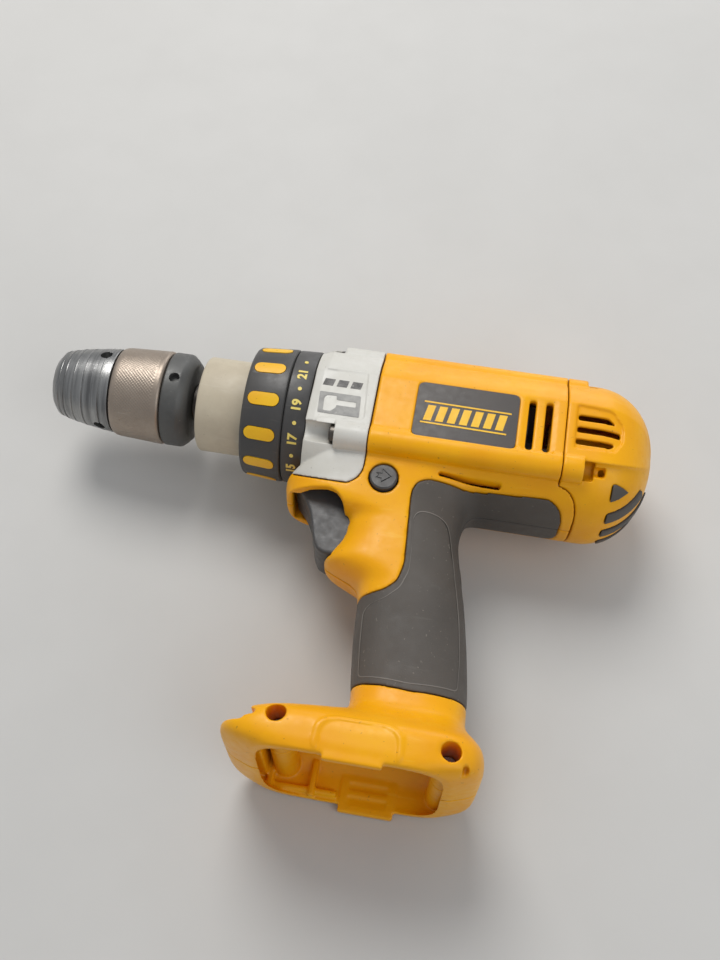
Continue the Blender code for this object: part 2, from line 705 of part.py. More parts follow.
def motor():
    can = turned((
        (149.0, 7.5), (149.0, 23.4), (204.0, 23.4), (204.0, 21.6), (151.5, 21.6), (151.5, 7.5)),
        steps=28)
    node("motor_can", can, "bright_steel")
    magnet = cut(tube((154.0, 192.0), 19.6, 21.2, steps=28),
                 box((150.0, 200.0), (-3.0, 30.0), (-6.0, 6.0)))
    node("motor_magnet_ring", magnet, "carbon")
    node("motor_shaft", turned((
        (125.0, 0.0), (125.0, 2.5), (142.0, 2.5), (142.0, 3.5), (224.0, 3.5), (224.0, 0.0)),
        steps=16), "bright_steel")
    slots = [box((150.0, 200.0), (9.0, 30.0), (-1.2, 1.2)) for index in range(6)]
    for index, slot in enumerate(slots):
        turn = math.pi * index / 3
        for vert in slot.verts:
            y, z = vert.co.y, vert.co.z
            vert.co.y = y * math.cos(turn) - z * math.sin(turn)
            vert.co.z = y * math.sin(turn) + z * math.cos(turn)
    node("armature_core", cut(tube((157.0, 189.0), 3.8, 19.1, steps=24), *slots), "copper")
    node("commutator", tube((191.5, 203.5), 3.8, 10.5, steps=16), "brass")
    hub = tube((206.0, 215.4), 3.8, 6.5, steps=16)
    disc = tube((206.3, 207.8), 6.0, 22.5, steps=24)
    blades = []
    for index in range(6):
        turn = math.pi * index / 3
        blade = box((207.0, 214.6), (5.5, 21.5), (-0.7, 0.7))
        for vert in blade.verts:
            y, z = vert.co.y, vert.co.z
            vert.co.y = y * math.cos(turn) - z * math.sin(turn)
            vert.co.z = y * math.sin(turn) + z * math.cos(turn)
        blades.append(blade)
    fan = hub
    for piece in (disc, *blades):
        fan = joined(fan, piece)
    node("cooling_fan", fan, "black_plastic")
    node("motor_bearing_front", tube((142.6, 148.6), 3.8, 10.5, steps=16), "bright_steel")
    node("motor_bearing_rear", tube((218.0, 223.6), 3.8, 9.6, steps=16), "bright_steel")
    holder = tube((194.0, 203.4), 15.0, 21.2, steps=24)
    channels = box((195.5, 210.0), (-3.8, 3.8), (-30.0, 30.0))
    node("brush_holder", cut(holder, channels), "switch_red")
    for side, sign in (("left", 1.0), ("right", -1.0)):
        faces = sorted((sign * 10.9, sign * 21.0))
        node(f"motor_brush_{side}", box((195.9, 203.2), (-3.4, 3.4), faces), "carbon")


# ---------------------------------------------------------------- controls and battery contacts

def controls():
    trigger = prism(TRIGGER_OUTLINE, -TRIGGER_HALF, TRIGGER_HALF)
    front = [edge for edge in trigger.edges
             if abs(edge.verts[0].co.z - edge.verts[1].co.z) < 0.1
             and max(vert.co.x for vert in edge.verts) < 134.0]
    bmesh.ops.bevel(trigger, geom=front, offset=3.4, segments=3, affect="EDGES")
    node("trigger", trigger, "black_plastic")
    spring("trigger_spring", 148.9, 157.6, 3.2, 0.6, 4, centre=(-57.0, 0.0), steps=8, sides=4)
    node("switch_module", box((158.0, 179.0), (-76.0, -46.5), (-10.0, 10.0)), "switch_red")
    bar = joined(cross_rod(*BUTTON_PLACE, (-23.6, 23.6), 3.0, 16),
                 cross_rod(*BUTTON_PLACE, (17.0, 24.4), BUTTON_RADIUS, 24),
                 cross_rod(*BUTTON_PLACE, (-24.4, -17.0), BUTTON_RADIUS, 24))
    node("direction_button", bar, "black_plastic", (*BUTTON_PLACE, 0.0))
    slider = joined(box((149.0, 161.0), (26.5, 30.6), (-6.4, 6.4)),
                    box((153.0, 157.0), (29.0, SPINE_Y), (-5.0, 5.0)))
    node("speed_selector", slider, "black_plastic")
    node("battery_contact_block", box((160.0, 188.0), (-104.0, -96.0), (-11.0, 11.0)),
         "black_plastic")
    for side, z in (("left", 6.0), ("right", -6.0)):
        node(f"battery_contact_{side}",
             box((166.0, 182.0), (-116.0, -104.3), (z - 0.5, z + 0.5)), "brass")


def lead(name, points, finish):
    """A wire inside the handle, from one terminal to the next."""
    curve = bpy.data.curves.new(name, "CURVE")
    curve.dimensions = "3D"
    curve.bevel_depth = 0.9 * MM
    curve.bevel_resolution = 2
    curve.use_fill_caps = True
    path = curve.splines.new("POLY")
    path.points.add(len(points) - 1)
    for slot, point in zip(path.points, points):
        slot.co = (*[(value + shift) * MM for value, shift in zip(point, WORLD_SHIFT)], 1.0)
    curve.materials.append(material(finish))
    bpy.context.scene.collection.objects.link(bpy.data.objects.new(name, curve))


def smooth_route(start, end, bulge, count=10):
    """Points of a soft bend from start to end that bows by the bulge."""
    points = []
    for index in range(count + 1):
        share = index / count
        bow = math.sin(math.pi * share)
        points.append(tuple(a + (b - a) * share + c * bow for a, b, c in zip(start, end, bulge)))
    return points


def leads():
    lead("lead_positive", smooth_route((170.0, -95.5, 6.0), (170.0, -76.6, 6.0), (2.0, 0.0, 2.0)),
         "switch_red")
    lead("lead_negative", smooth_route((174.0, -95.5, -6.0), (174.0, -76.6, -6.0),
                                       (2.0, 0.0, -2.0)), "carbon")


# ---------------------------------------------------------------- screws

def long_screw(name, place, seat, direction, length):
    """A screw along x: its head sits on the seat and its shank points in the direction."""
    head_far = seat - 2.6 * direction
    tip = seat + length * direction
    profile = ((head_far, 0.0), (head_far, 3.6), (seat, 3.6), (seat, 1.8), (tip, 1.8), (tip, 0.0))
    socket = rod(sorted((head_far - direction, head_far + 1.5 * direction)), 1.6, place, 6)
    node(name, cut(turned(profile, place, 12), socket), "bright_steel")


def foot_screw(name, x, y):
    body = joined(cross_rod(x, y, (14.3, 16.8), 3.3, 14), cross_rod(x, y, (-20.0, 15.0), 1.8, 10))
    node(name, cut(body, cross_rod(x, y, (15.6, 19.0), 1.6, 6)), "bright_steel")


def screws():
    corners = {"upper_left": (UPPER_RIDGE, 1.0), "upper_right": (UPPER_RIDGE, -1.0),
               "lower_left": (LOWER_RIDGE, 1.0), "lower_right": (LOWER_RIDGE, -1.0)}
    for corner, ((y, z), side) in corners.items():
        seat = CASE_SEATS[0 if corner.startswith("upper") else 1] - GAP
        long_screw(f"case_screw_{corner}", (y, side * z), seat, 1.0, 34.0)
        long_screw(f"cap_screw_{corner}", (y, side * z), CAP_SEAT + GAP, -1.0, 26.0)
    for end, (x, y) in zip(("front", "rear"), foot_screw_places()):
        foot_screw(f"foot_screw_{end}", x, y)


def build():
    clear_scene()
    housing_halves()
    grip_covers()
    gear_case()
    end_cap()
    rear_bumper()
    label_plates()
    chuck()
    spindle()
    clutch()
    gearbox()
    motor()
    controls()
    leads()
    screws()


build()
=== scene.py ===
"""Looks of the cordless hammer drill: its moulded shells, covers, dial, chuck and materials.

Shapes are worked out in the tool's own frame, in millimetres: the spindle's axis is y = 0, z = 0
and the chuck's tip is x = 0, +X runs back to the end cap, +Y up to the spine, and +Z is the
tool's left side, which faces up. in_frame() takes a point from there to the shared frame.
"""
import math

import bmesh
import bpy
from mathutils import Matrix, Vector


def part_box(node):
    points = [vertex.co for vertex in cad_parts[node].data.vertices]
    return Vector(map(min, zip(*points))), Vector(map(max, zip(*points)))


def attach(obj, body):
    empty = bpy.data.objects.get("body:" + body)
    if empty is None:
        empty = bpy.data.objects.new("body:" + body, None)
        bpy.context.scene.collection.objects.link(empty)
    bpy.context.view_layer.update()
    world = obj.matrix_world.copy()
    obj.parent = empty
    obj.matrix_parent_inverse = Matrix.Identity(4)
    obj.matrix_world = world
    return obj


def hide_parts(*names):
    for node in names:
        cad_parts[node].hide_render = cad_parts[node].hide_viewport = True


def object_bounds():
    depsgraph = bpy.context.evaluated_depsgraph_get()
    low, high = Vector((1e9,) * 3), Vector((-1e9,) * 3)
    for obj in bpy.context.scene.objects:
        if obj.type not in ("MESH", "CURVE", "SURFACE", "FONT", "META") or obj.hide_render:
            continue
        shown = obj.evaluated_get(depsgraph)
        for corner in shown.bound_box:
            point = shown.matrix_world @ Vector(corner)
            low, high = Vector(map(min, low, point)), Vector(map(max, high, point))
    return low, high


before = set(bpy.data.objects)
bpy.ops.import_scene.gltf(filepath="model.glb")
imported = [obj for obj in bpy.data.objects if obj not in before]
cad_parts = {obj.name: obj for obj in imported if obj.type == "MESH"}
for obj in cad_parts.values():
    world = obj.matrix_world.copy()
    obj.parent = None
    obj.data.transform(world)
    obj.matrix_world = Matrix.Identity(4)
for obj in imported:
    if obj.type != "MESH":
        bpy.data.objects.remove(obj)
cad_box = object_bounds()

MM = 0.001
SPINDLE_START = 46.3             # x of the spindle's front end in the tool's frame
GAP = 0.3

# Stations along the spindle's axis.
REAR_X = 262.0
NOSE_END = 29.4
SLEEVE_END = 52.4
CHUCK_END = 62.6
HANDLE_COLLAR = (68.1, 88.8)
TORQUE_COLLAR = (89.1, 107.0)
NUMBER_RING = (107.3, 117.0)
CASE = (117.3, 143.85)
BARREL = (144.15, 222.3)
BELLY_END = 231.5
CAP_START = 222.6
DOME_START = 236.0

# The motor housing's cross-section.
SPINE_RADIUS = 31.2
PANEL_Z = 30.3                   # the flat side that carries the label
PANEL_Y = (-19.0, 7.6)
BELLY_DEPTH = 36.0
BELLY_HALF = 31.0
BELLY_SQUARENESS = 2.4
UPPER_RIDGE = (21.5, 17.5)
UPPER_RIDGE_RADIUS = 5.6
LOWER_RIDGE = (-21.0, 26.0)
LOWER_RIDGE_RADIUS = 5.9
CHEEK_Y = -40.4
CHEEK_FRONT = 108.0
CHEEK_SECTION = ((-20.0, 11.5), (-34.5, 11.5), (CHEEK_Y, 22.4), (CHEEK_Y, 60.0), (-20.0, 60.0))
SEAM_CENTRE_Y = -37.0            # the housing's rounded rear corner under the end cap
SEAM_RADIUS = 9.2
HALF_WIDTH = 38.5
WALL = 3.4
RUBBER = 1.5

# The handle and foot: height, front, rear, half width and squareness of each level.
HANDLE_LEVELS = (
    (-16.0, 118.5, 186.0, 26.0, 4.0),
    (-28.0, 118.0, 189.0, 24.5, 4.0),
    (-32.5, 114.5, 190.0, 23.5, 3.5),
    (-35.5, 112.3, 189.5, 22.8, 3.2),
    (-38.0, 112.0, 188.5, 22.4, 3.0),
    (-41.0, 112.8, 187.8, 22.0, 3.0),
    (-44.0, 114.0, 187.2, 21.6, 3.0),
    (-46.5, 122.0, 186.8, 21.2, 2.9),
    (-50.0, 138.0, 186.5, 20.8, 2.8),
    (-55.0, 139.2, 187.2, 20.5, 2.7),
    (-60.0, 138.0, 188.3, 20.2, 2.6),
    (-64.5, 135.5, 189.3, 20.0, 2.6),
    (-67.5, 133.8, 190.0, 19.8, 2.6),
    (-70.0, 134.6, 190.4, 19.7, 2.6),
    (-72.5, 139.5, 190.9, 19.6, 2.6),
    (-76.0, 147.0, 191.7, 19.6, 2.6),
    (-81.0, 149.8, 192.8, 19.6, 2.6),
    (-98.0, 151.0, 195.8, 19.6, 2.6),
    (-114.0, 152.8, 198.0, 19.8, 2.6),
    (-122.0, 154.0, 198.4, 20.2, 2.8),
    (-128.0, 153.5, 198.8, 21.5, 3.2),
    (-132.0, 148.0, 200.5, 25.5, 4.0),
    (-136.0, 126.0, 203.0, 32.5, 5.0),
    (-139.5, 117.0, 205.5, 36.8, 5.0),
    (-143.0, 112.5, 206.5, 38.3, 5.0),
    (-147.0, 110.5, 206.5, HALF_WIDTH, 5.0),
    (-150.5, 114.0, 204.5, HALF_WIDTH, 5.0),
    (-153.5, 122.0, 196.0, HALF_WIDTH - 0.5, 5.0),
)
TRIGGER_MOUTH = (
    (100.0, -58.0), (100.0, -43.6), (119.0, -43.3), (123.6, -42.8), (131.6, -42.7),
    (134.8, -43.8), (137.4, -46.2), (139.2, -49.5), (140.0, -53.5), (139.0, -58.0),
)
RUBBER_OUTLINE = (
    (164.8, -41.0), (165.2, -38.0), (167.0, -34.9), (171.0, -33.4), (186.0, -33.4),
    (192.0, -32.5), (220.0, -31.6), (225.6, -34.0), (228.2, -38.5), (228.4, -60.0),
    (206.0, -60.0), (206.0, -119.5), (176.0, -120.8), (144.0, -118.5), (144.0, -84.0),
    (154.0, -83.6), (160.4, -82.0), (165.0, -78.0), (166.6, -70.5),
)
GRIP_LINE = (                    # the fine raised line around the grip's palm area
    (166.8, -51.0), (168.4, -47.6), (172.0, -46.6), (177.0, -47.2), (180.6, -49.0),
    (182.4, -52.6), (186.0, -66.0), (190.8, -88.0), (193.0, -104.0), (193.6, -117.0),
    (175.0, -118.4), (156.0, -117.0), (154.4, -104.0), (153.4, -91.0), (155.0, -88.2),
    (161.0, -85.4), (166.0, -80.6), (168.6, -73.0), (168.2, -62.0),
)
TRIGGER_ROOM_Y = (-67.9, -36.8)
TRIGGER_OUTLINE = (
    (116.4, -37.1), (116.4, -39.1), (118.0, -40.5), (122.0, -45.0), (125.0, -50.5),
    (126.8, -56.5), (128.3, -62.0), (130.4, -66.0), (133.5, -67.6), (148.5, -67.6),
    (148.5, -46.8), (141.0, -45.5), (139.0, -37.1),
)
TRIGGER_HALF = 11.2
BUTTON_PLACE = (152.7, -35.9)
BUTTON_RADIUS = 5.6
LABEL_X = (160.9, 202.8)
LABEL_Y = (-18.6, 7.3)
LABEL_THICKNESS = 0.5
FOOT_SCREWS = ((131.5, -141.5), (193.5, -145.0))
CASE_SEATS = (127.6, 130.6)      # x of the upper and lower screw heads' seats on the gear case
CAP_SEAT = 228.4                 # x of the screw heads' seats on the end cap


def in_frame(point):
    """A point of the tool's frame, in millimetres, as a vector of the shared frame, in metres."""
    low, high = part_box("spindle")
    start = Vector((low.x, (low.y + high.y) / 2, (low.z + high.z) / 2))
    return start + (Vector(point) - Vector((SPINDLE_START, 0.0, 0.0))) * MM


ORIGIN = in_frame((0.0, 0.0, 0.0))


# ---------------------------------------------------------------- camera, floor and lights

CAMERA_PLACE = (178.7, -248.2, 410.4)
CAMERA_TURN = (28.72, -0.106, 9.72)
CAMERA_LENS = 41.24
FLOOR_REACH = 3.0                # metres from the middle to each edge
LIGHTS_FACE = (0.0, 0.0, 0.04)
WORLD_COLOUR = (0.9, 0.93, 0.97, 1.0)
WORLD_STRENGTH = 0.42


def camera():
    data = bpy.data.cameras.new("camera")
    data.lens = CAMERA_LENS
    data.sensor_width = 36.0
    data.clip_start = 0.01
    obj = bpy.data.objects.new("camera", data)
    obj.location = ORIGIN + Vector(CAMERA_PLACE) * MM
    obj.rotation_euler = [math.radians(value) for value in CAMERA_TURN]
    bpy.context.scene.collection.objects.link(obj)
    bpy.context.scene.camera = obj


def floor():
    shape = bmesh.new()
    bmesh.ops.create_grid(shape, x_segments=1, y_segments=1, size=FLOOR_REACH)
    obj = as_object("floor", shape)
    obj.data.materials.append(floor_paint())
    obj.location = (0.0, 0.0, cad_box[0][2])


def area_light(name, place, size, energy, colour=(1.0, 1.0, 1.0)):
    data = bpy.data.lights.new(name, "AREA")
    data.shape = "DISK"
    data.size = size
    data.energy = energy
    data.color = colour
    obj = bpy.data.objects.new(name, data)
    obj.location = place
    aim = Vector(LIGHTS_FACE) - Vector(place)
    obj.rotation_euler = aim.to_track_quat("-Z", "Y").to_euler()
    bpy.context.scene.collection.objects.link(obj)


def lights():
    area_light("key", (-0.35, 0.75, 1.25), 0.8, 13.0, (1.0, 0.985, 0.96))
    area_light("fill", (0.9, -0.5, 0.9), 1.1, 3.5, (0.94, 0.97, 1.0))
    area_light("back", (0.2, 1.3, 0.35), 0.8, 3.0)
    world = bpy.data.worlds.new("studio")
    world.use_nodes = True
    background = world.node_tree.nodes["Background"]
    background.inputs["Color"].default_value = WORLD_COLOUR
    background.inputs["Strength"].default_value = WORLD_STRENGTH
    bpy.context.scene.world = world
    bpy.context.scene.view_settings.view_transform = "Standard"


# ---------------------------------------------------------------- materials

def add(tree, kind, inputs, **settings):
    """A shader node with its settings, and its inputs set to values or linked to sockets."""
    made = tree.nodes.new("ShaderNode" + kind)
    for name, value in settings.items():
        setattr(made, name, value)
    for name, value in inputs.items():
        if isinstance(value, bpy.types.NodeSocket):
            tree.links.new(value, made.inputs[name])
        else:
            made.inputs[name].default_value = value
    return made


def noise(tree, scale, detail=3.0, stretch=(1.0, 1.0, 1.0)):
    """Noise in the piece's own space, with the scale per metre."""
    place = tree.nodes.new("ShaderNodeTexCoord").outputs["Object"]
    turned_place = add(tree, "Mapping", {"Vector": place, "Scale": stretch}).outputs["Vector"]
    return add(tree, "TexNoise", {"Vector": turned_place, "Scale": scale, "Detail": detail,
                                  "Roughness": 0.6}).outputs["Fac"]


def ranged(tree, value, start, end, low=0.0, high=1.0):
    """The value taken from start..end to low..high, and held at the ends."""
    return add(tree, "MapRange", {"Value": value, "From Min": start, "From Max": end,
                                  "To Min": low, "To Max": high}).outputs["Result"]


def mixed(tree, share, first, second):
    made = tree.nodes.new("ShaderNodeMix")
    made.data_type = "RGBA"
    for socket, value in ((made.inputs[0], share), (made.inputs[6], first), (made.inputs[7], second)):
        if isinstance(value, bpy.types.NodeSocket):
            tree.links.new(value, socket)
        elif socket is made.inputs[0]:
            socket.default_value = value
        else:
            socket.default_value = (*value, 1.0)
    return made.outputs[2]


def finish(name, colour, shade, roughness, metallic=0.0, specks=0.0, dirt=(0.1, 0.07, 0.04),
           scuffs=0.0, bright=(0.9, 0.9, 0.9), crevice_shade=0.0, crevice_shade_colour=(0.1, 0.06, 0.03),
           patch=35.0, grain=(2500.0, 0.1), stretch=(1.0, 1.0, 1.0), coat=0.0, specular=0.5):
    """A worn finish: patches, specks of dirt, fine scuffs, and painted shade that darkens the colour
    in crevices where surfaces meet.
    """
    made = bpy.data.materials.new(name)
    made.use_nodes = True
    tree = made.node_tree
    shader = tree.nodes["Principled BSDF"]
    patches = noise(tree, patch, 5.0, stretch)
    paint = mixed(tree, ranged(tree, patches, 0.35, 0.68), colour, shade)
    fine = noise(tree, patch * 9.0, 4.0, stretch)
    paint = mixed(tree, ranged(tree, fine, 0.45, 0.75, 0.0, 0.35), paint, shade)
    if scuffs:
        lines = noise(tree, 420.0, 2.0, (0.12, 1.0, 1.0))
        paint = mixed(tree, ranged(tree, lines, 0.66, 0.72, 0.0, scuffs), paint, bright)
    if specks:
        spots = noise(tree, 650.0, 2.0)
        paint = mixed(tree, ranged(tree, spots, 0.69, 0.75, 0.0, specks), paint, dirt)
    # Painted shade: ambient occlusion darkens the colour towards a darker tone in crevices and seams,
    # where shade falls.
    if crevice_shade:
        crevice = add(tree, "AmbientOcclusion", {"Distance": 0.0022}, samples=8).outputs["AO"]
        paint = mixed(tree, ranged(tree, crevice, 0.25, 0.85, crevice_shade, 0.0), paint, crevice_shade_colour)
    tree.links.new(paint, shader.inputs["Base Color"])
    spread = ranged(tree, fine, 0.3, 0.75, roughness - 0.08, roughness + 0.12)
    tree.links.new(spread, shader.inputs["Roughness"])
    scale, strength = grain
    bumps = add(tree, "Bump", {"Height": noise(tree, scale, 2.0, stretch), "Strength": strength,
                               "Distance": 0.0002})
    tree.links.new(bumps.outputs["Normal"], shader.inputs["Normal"])
    shader.inputs["Metallic"].default_value = metallic
    shader.inputs["Coat Weight"].default_value = coat
    shader.inputs["Specular IOR Level"].default_value = specular
    return made


def floor_paint():
    return finish("floor_paint", (0.62, 0.61, 0.59), (0.58, 0.57, 0.55), 0.85, patch=3.0,
                  grain=(300.0, 0.05))


def make_finishes():
    # crevice_shade and crevice_shade_colour set how strongly each finish gets painted shade in its
    # crevices, and the darker tone of that painted shade.
    looks = {
        "yellow_plastic": dict(
            colour=(0.94, 0.445, 0.002), shade=(0.88, 0.37, 0.001), roughness=0.36, specks=0.5,
            dirt=(0.30, 0.13, 0.02), scuffs=0.18, bright=(0.98, 0.62, 0.08), crevice_shade=0.75,
            crevice_shade_colour=(0.42, 0.13, 0.008), grain=(1800.0, 0.05), specular=0.32),
        "silver_paint": dict(
            colour=(0.66, 0.645, 0.60), shade=(0.58, 0.56, 0.50), roughness=0.42, specks=0.3,
            dirt=(0.20, 0.17, 0.13), scuffs=0.2, bright=(0.75, 0.74, 0.72), crevice_shade=0.7,
            crevice_shade_colour=(0.16, 0.12, 0.07), grain=(2200.0, 0.08)),
        "cream_metal": dict(
            colour=(0.60, 0.53, 0.40), shade=(0.50, 0.43, 0.32), roughness=0.48, specks=0.3,
            dirt=(0.25, 0.2, 0.13), scuffs=0.15, bright=(0.68, 0.64, 0.55), crevice_shade=0.5,
            crevice_shade_colour=(0.2, 0.15, 0.09), grain=(2600.0, 0.12)),
        "black_plastic": dict(
            colour=(0.050, 0.050, 0.052), shade=(0.066, 0.062, 0.058), roughness=0.42, specks=0.35,
            dirt=(0.15, 0.13, 0.11), scuffs=0.2, bright=(0.13, 0.12, 0.11), grain=(2600.0, 0.12)),
        "label_black": dict(
            colour=(0.040, 0.032, 0.028), shade=(0.052, 0.042, 0.036), roughness=0.36, specks=0.2,
            dirt=(0.14, 0.12, 0.1), scuffs=0.1, bright=(0.1, 0.09, 0.08), grain=(2600.0, 0.05)),
        "rubber": dict(
            colour=(0.074, 0.064, 0.055), shade=(0.100, 0.087, 0.075), roughness=0.60, specks=0.6,
            dirt=(0.26, 0.23, 0.19), scuffs=0.12, bright=(0.16, 0.15, 0.13), crevice_shade=0.5,
            crevice_shade_colour=(0.02, 0.018, 0.015), patch=22.0, grain=(3200.0, 0.3)),
        "rubber_line": dict(
            colour=(0.20, 0.18, 0.16), shade=(0.15, 0.135, 0.12), roughness=0.6, grain=(3200.0, 0.1)),
        "dial_yellow": dict(
            colour=(0.93, 0.56, 0.01), shade=(0.86, 0.44, 0.008), roughness=0.42, specks=0.6,
            dirt=(0.3, 0.16, 0.04), grain=(2000.0, 0.12)),
        "number_paint": dict(
            colour=(0.90, 0.74, 0.22), shade=(0.80, 0.6, 0.12), roughness=0.5, grain=(2000.0, 0.05)),
        "print_grey": dict(
            colour=(0.24, 0.235, 0.225), shade=(0.36, 0.35, 0.33), roughness=0.5, specks=0.9,
            dirt=(0.6, 0.58, 0.54), patch=260.0, grain=(2000.0, 0.05)),
        "print_dark": dict(
            colour=(0.045, 0.042, 0.04), shade=(0.2, 0.19, 0.18), roughness=0.5, specks=0.9,
            dirt=(0.6, 0.58, 0.54), patch=260.0, grain=(2000.0, 0.05)),
        "sleeve_steel": dict(
            colour=(0.40, 0.335, 0.275), shade=(0.33, 0.27, 0.22), roughness=0.40, metallic=0.65,
            specks=0.5, dirt=(0.2, 0.13, 0.09), scuffs=0.2, bright=(0.6, 0.56, 0.5),
            patch=60.0, grain=(3000.0, 0.1)),
        "worn_steel": dict(
            colour=(0.40, 0.40, 0.395), shade=(0.17, 0.17, 0.17), roughness=0.34, metallic=0.9,
            specks=0.4, dirt=(0.1, 0.09, 0.08), patch=50.0, grain=(300.0, 0.25),
            stretch=(14.0, 0.6, 0.6)),
        "ring_steel": dict(
            colour=(0.085, 0.085, 0.083), shade=(0.12, 0.12, 0.115), roughness=0.45, metallic=0.3,
            specks=0.4, dirt=(0.25, 0.24, 0.22), patch=60.0, grain=(2500.0, 0.12)),
        "bright_steel": dict(
            colour=(0.55, 0.54, 0.53), shade=(0.40, 0.38, 0.36), roughness=0.28, metallic=1.0,
            specks=0.3, dirt=(0.15, 0.12, 0.1), patch=90.0, grain=(1800.0, 0.08)),
        "dark_steel": dict(
            colour=(0.18, 0.165, 0.15), shade=(0.09, 0.08, 0.07), roughness=0.38, metallic=0.9,
            specks=0.3, dirt=(0.2, 0.17, 0.14), patch=90.0, grain=(1800.0, 0.1)),
        "copper": dict(
            colour=(0.60, 0.25, 0.11), shade=(0.42, 0.16, 0.07), roughness=0.34, metallic=1.0,
            patch=140.0, grain=(1500.0, 0.2)),
        "brass": dict(
            colour=(0.66, 0.48, 0.20), shade=(0.5, 0.34, 0.13), roughness=0.3, metallic=1.0,
            patch=140.0, grain=(1800.0, 0.1)),
        "switch_red": dict(
            colour=(0.36, 0.03, 0.02), shade=(0.28, 0.02, 0.015), roughness=0.45, patch=90.0,
            grain=(2000.0, 0.1)),
        "carbon": dict(
            colour=(0.03, 0.03, 0.03), shade=(0.045, 0.043, 0.04), roughness=0.75, patch=120.0,
            grain=(2200.0, 0.3)),
    }
    return {name: finish(name, **look) for name, look in looks.items()}


# ---------------------------------------------------------------- basic shapes

def around(steps):
    """Evenly spaced angles of one full turn."""
    return [2 * math.pi * index / steps for index in range(steps)]


def circle(radius, steps):
    return [(radius * math.cos(angle), radius * math.sin(angle)) for angle in around(steps)]


def as_object(name, shape):
    """The shape's mesh in a new object of the scene. Frees the shape."""
    mesh = bpy.data.meshes.new(name)
    shape.to_mesh(mesh)
    shape.free()
    obj = bpy.data.objects.new(name, mesh)
    bpy.context.scene.collection.objects.link(obj)
    return obj


def loft(rings):
    """A closed solid through rings that all have the same number of points."""
    shape = bmesh.new()
    levels = [[shape.verts.new(point) for point in ring] for ring in rings]
    count = len(rings[0])
    for lower, upper in zip(levels, levels[1:]):
        for index in range(count):
            after = (index + 1) % count
            shape.faces.new((lower[index], lower[after], upper[after], upper[index]))
    shape.faces.new(levels[0])
    shape.faces.new(levels[-1])
    bmesh.ops.recalc_face_normals(shape, faces=shape.faces)
    return shape


def prism(outline, low, high):
    """An (x, y) outline extruded along z."""
    return loft([[(x, y, z) for x, y in outline] for z in (low, high)])


def box(x_range, y_range, z_range):
    (left, right), (low, high) = x_range, y_range
    return prism(((left, low), (right, low), (right, high), (left, high)), *z_range)


def turned(profile, centre=(0.0, 0.0), steps=128, relief=None):
    """A closed (x, radius) profile turned about a line along x, with an optional relief."""
    shape = bmesh.new()
    rings = []
    for x, radius in profile:
        ring = []
        for angle in around(steps) if radius > 0.0 else (0.0,):
            reach = radius + (relief(x, radius, angle) if relief else 0.0)
            ring.append(shape.verts.new((x, centre[0] + reach * math.cos(angle),
                                         centre[1] + reach * math.sin(angle))))
        rings.append(ring)
    for first, second in zip(rings, rings[1:] + rings[:1]):
        if len(first) == 1 and len(second) == 1:
            continue
        for index in range(steps):
            after = (index + 1) % steps
            corners = [first[index % len(first)], first[after % len(first)],
                       second[after % len(second)], second[index % len(second)]]
            shape.faces.new(list(dict.fromkeys(corners)))
    bmesh.ops.recalc_face_normals(shape, faces=shape.faces)
    return shape


def rod(x_range, radius, centre=(0.0, 0.0), steps=48):
    start, end = x_range
    return turned(((start, 0.0), (start, radius), (end, radius), (end, 0.0)), centre, steps)


def tube(x_range, inner, outer, centre=(0.0, 0.0), steps=96):
    start, end = x_range
    return turned(((start, inner), (start, outer), (end, outer), (end, inner)), centre, steps)


def cross_rod(x, y, z_range, radius, steps=48):
    """A round rod across the tool, along z."""
    return prism([(x + along, y + up) for along, up in circle(radius, steps)], *z_range)


def combined(operation, base, *tools):
    """The base joined with, cut by or kept inside each tool. Frees what it is given."""
    objects = [as_object("work", shape) for shape in (base, *tools)]
    for tool in objects[1:]:
        step = objects[0].modifiers.new("step", "BOOLEAN")
        step.operation = operation
        step.object = tool
        step.solver = "MANIFOLD"
    return evaluated(objects)


def evaluated(objects):
    """The first object's mesh with its modifiers applied. All the objects are removed."""
    graph = bpy.context.evaluated_depsgraph_get()
    result = bmesh.new()
    mesh = bpy.data.meshes.new_from_object(objects[0].evaluated_get(graph))
    result.from_mesh(mesh)
    bpy.data.meshes.remove(mesh)
    for obj in objects:
        data = obj.data
        bpy.data.objects.remove(obj, do_unlink=True)
        bpy.data.meshes.remove(data)
    return result


def cut(base, *tools):
    return combined("DIFFERENCE", base, *tools)


def joined(base, *tools):
    return combined("UNION", base, *tools)


def kept_inside(base, *tools):
    return combined("INTERSECT", base, *tools)


def moulded(shape, grid=0.55, soften=4, keep=0.35):
    """The solid with its edges rounded over as a moulding's are, and its mesh evened out."""
    obj = as_object("work", shape)
    even = obj.modifiers.new("even", "REMESH")
    even.mode = "VOXEL"
    even.voxel_size = grid
    soft = obj.modifiers.new("soft", "SMOOTH")
    soft.iterations = soften
    soft.factor = 0.5
    thin = obj.modifiers.new("thin", "DECIMATE")
    thin.ratio = keep
    return evaluated([obj])


def mirrored(shape):
    """A copy on the other side of the tool's middle."""
    copy = shape.copy()
    for vert in copy.verts:
        vert.co.z = -vert.co.z
    bmesh.ops.reverse_faces(copy, faces=copy.faces)
    return copy


def both_sides(shape):
    return shape, mirrored(shape)


def rounded(outline, reach=3.0, steps=5):
    """The outline with each corner drawn as a curve that starts and ends at the reach."""
    points = []
    for before, here, after in zip(outline[-1:] + outline[:-1], outline, outline[1:] + outline[:1]):
        corner = Vector(here)
        ends = []
        for other in (before, after):
            along = Vector(other) - corner
            ends.append(corner + along * min(0.5, reach / along.length))
        for index in range(steps + 1):
            share = index / steps
            first = ends[0].lerp(corner, share)
            second = corner.lerp(ends[1], share)
            points.append(tuple(first.lerp(second, share)))
    return tuple(points)


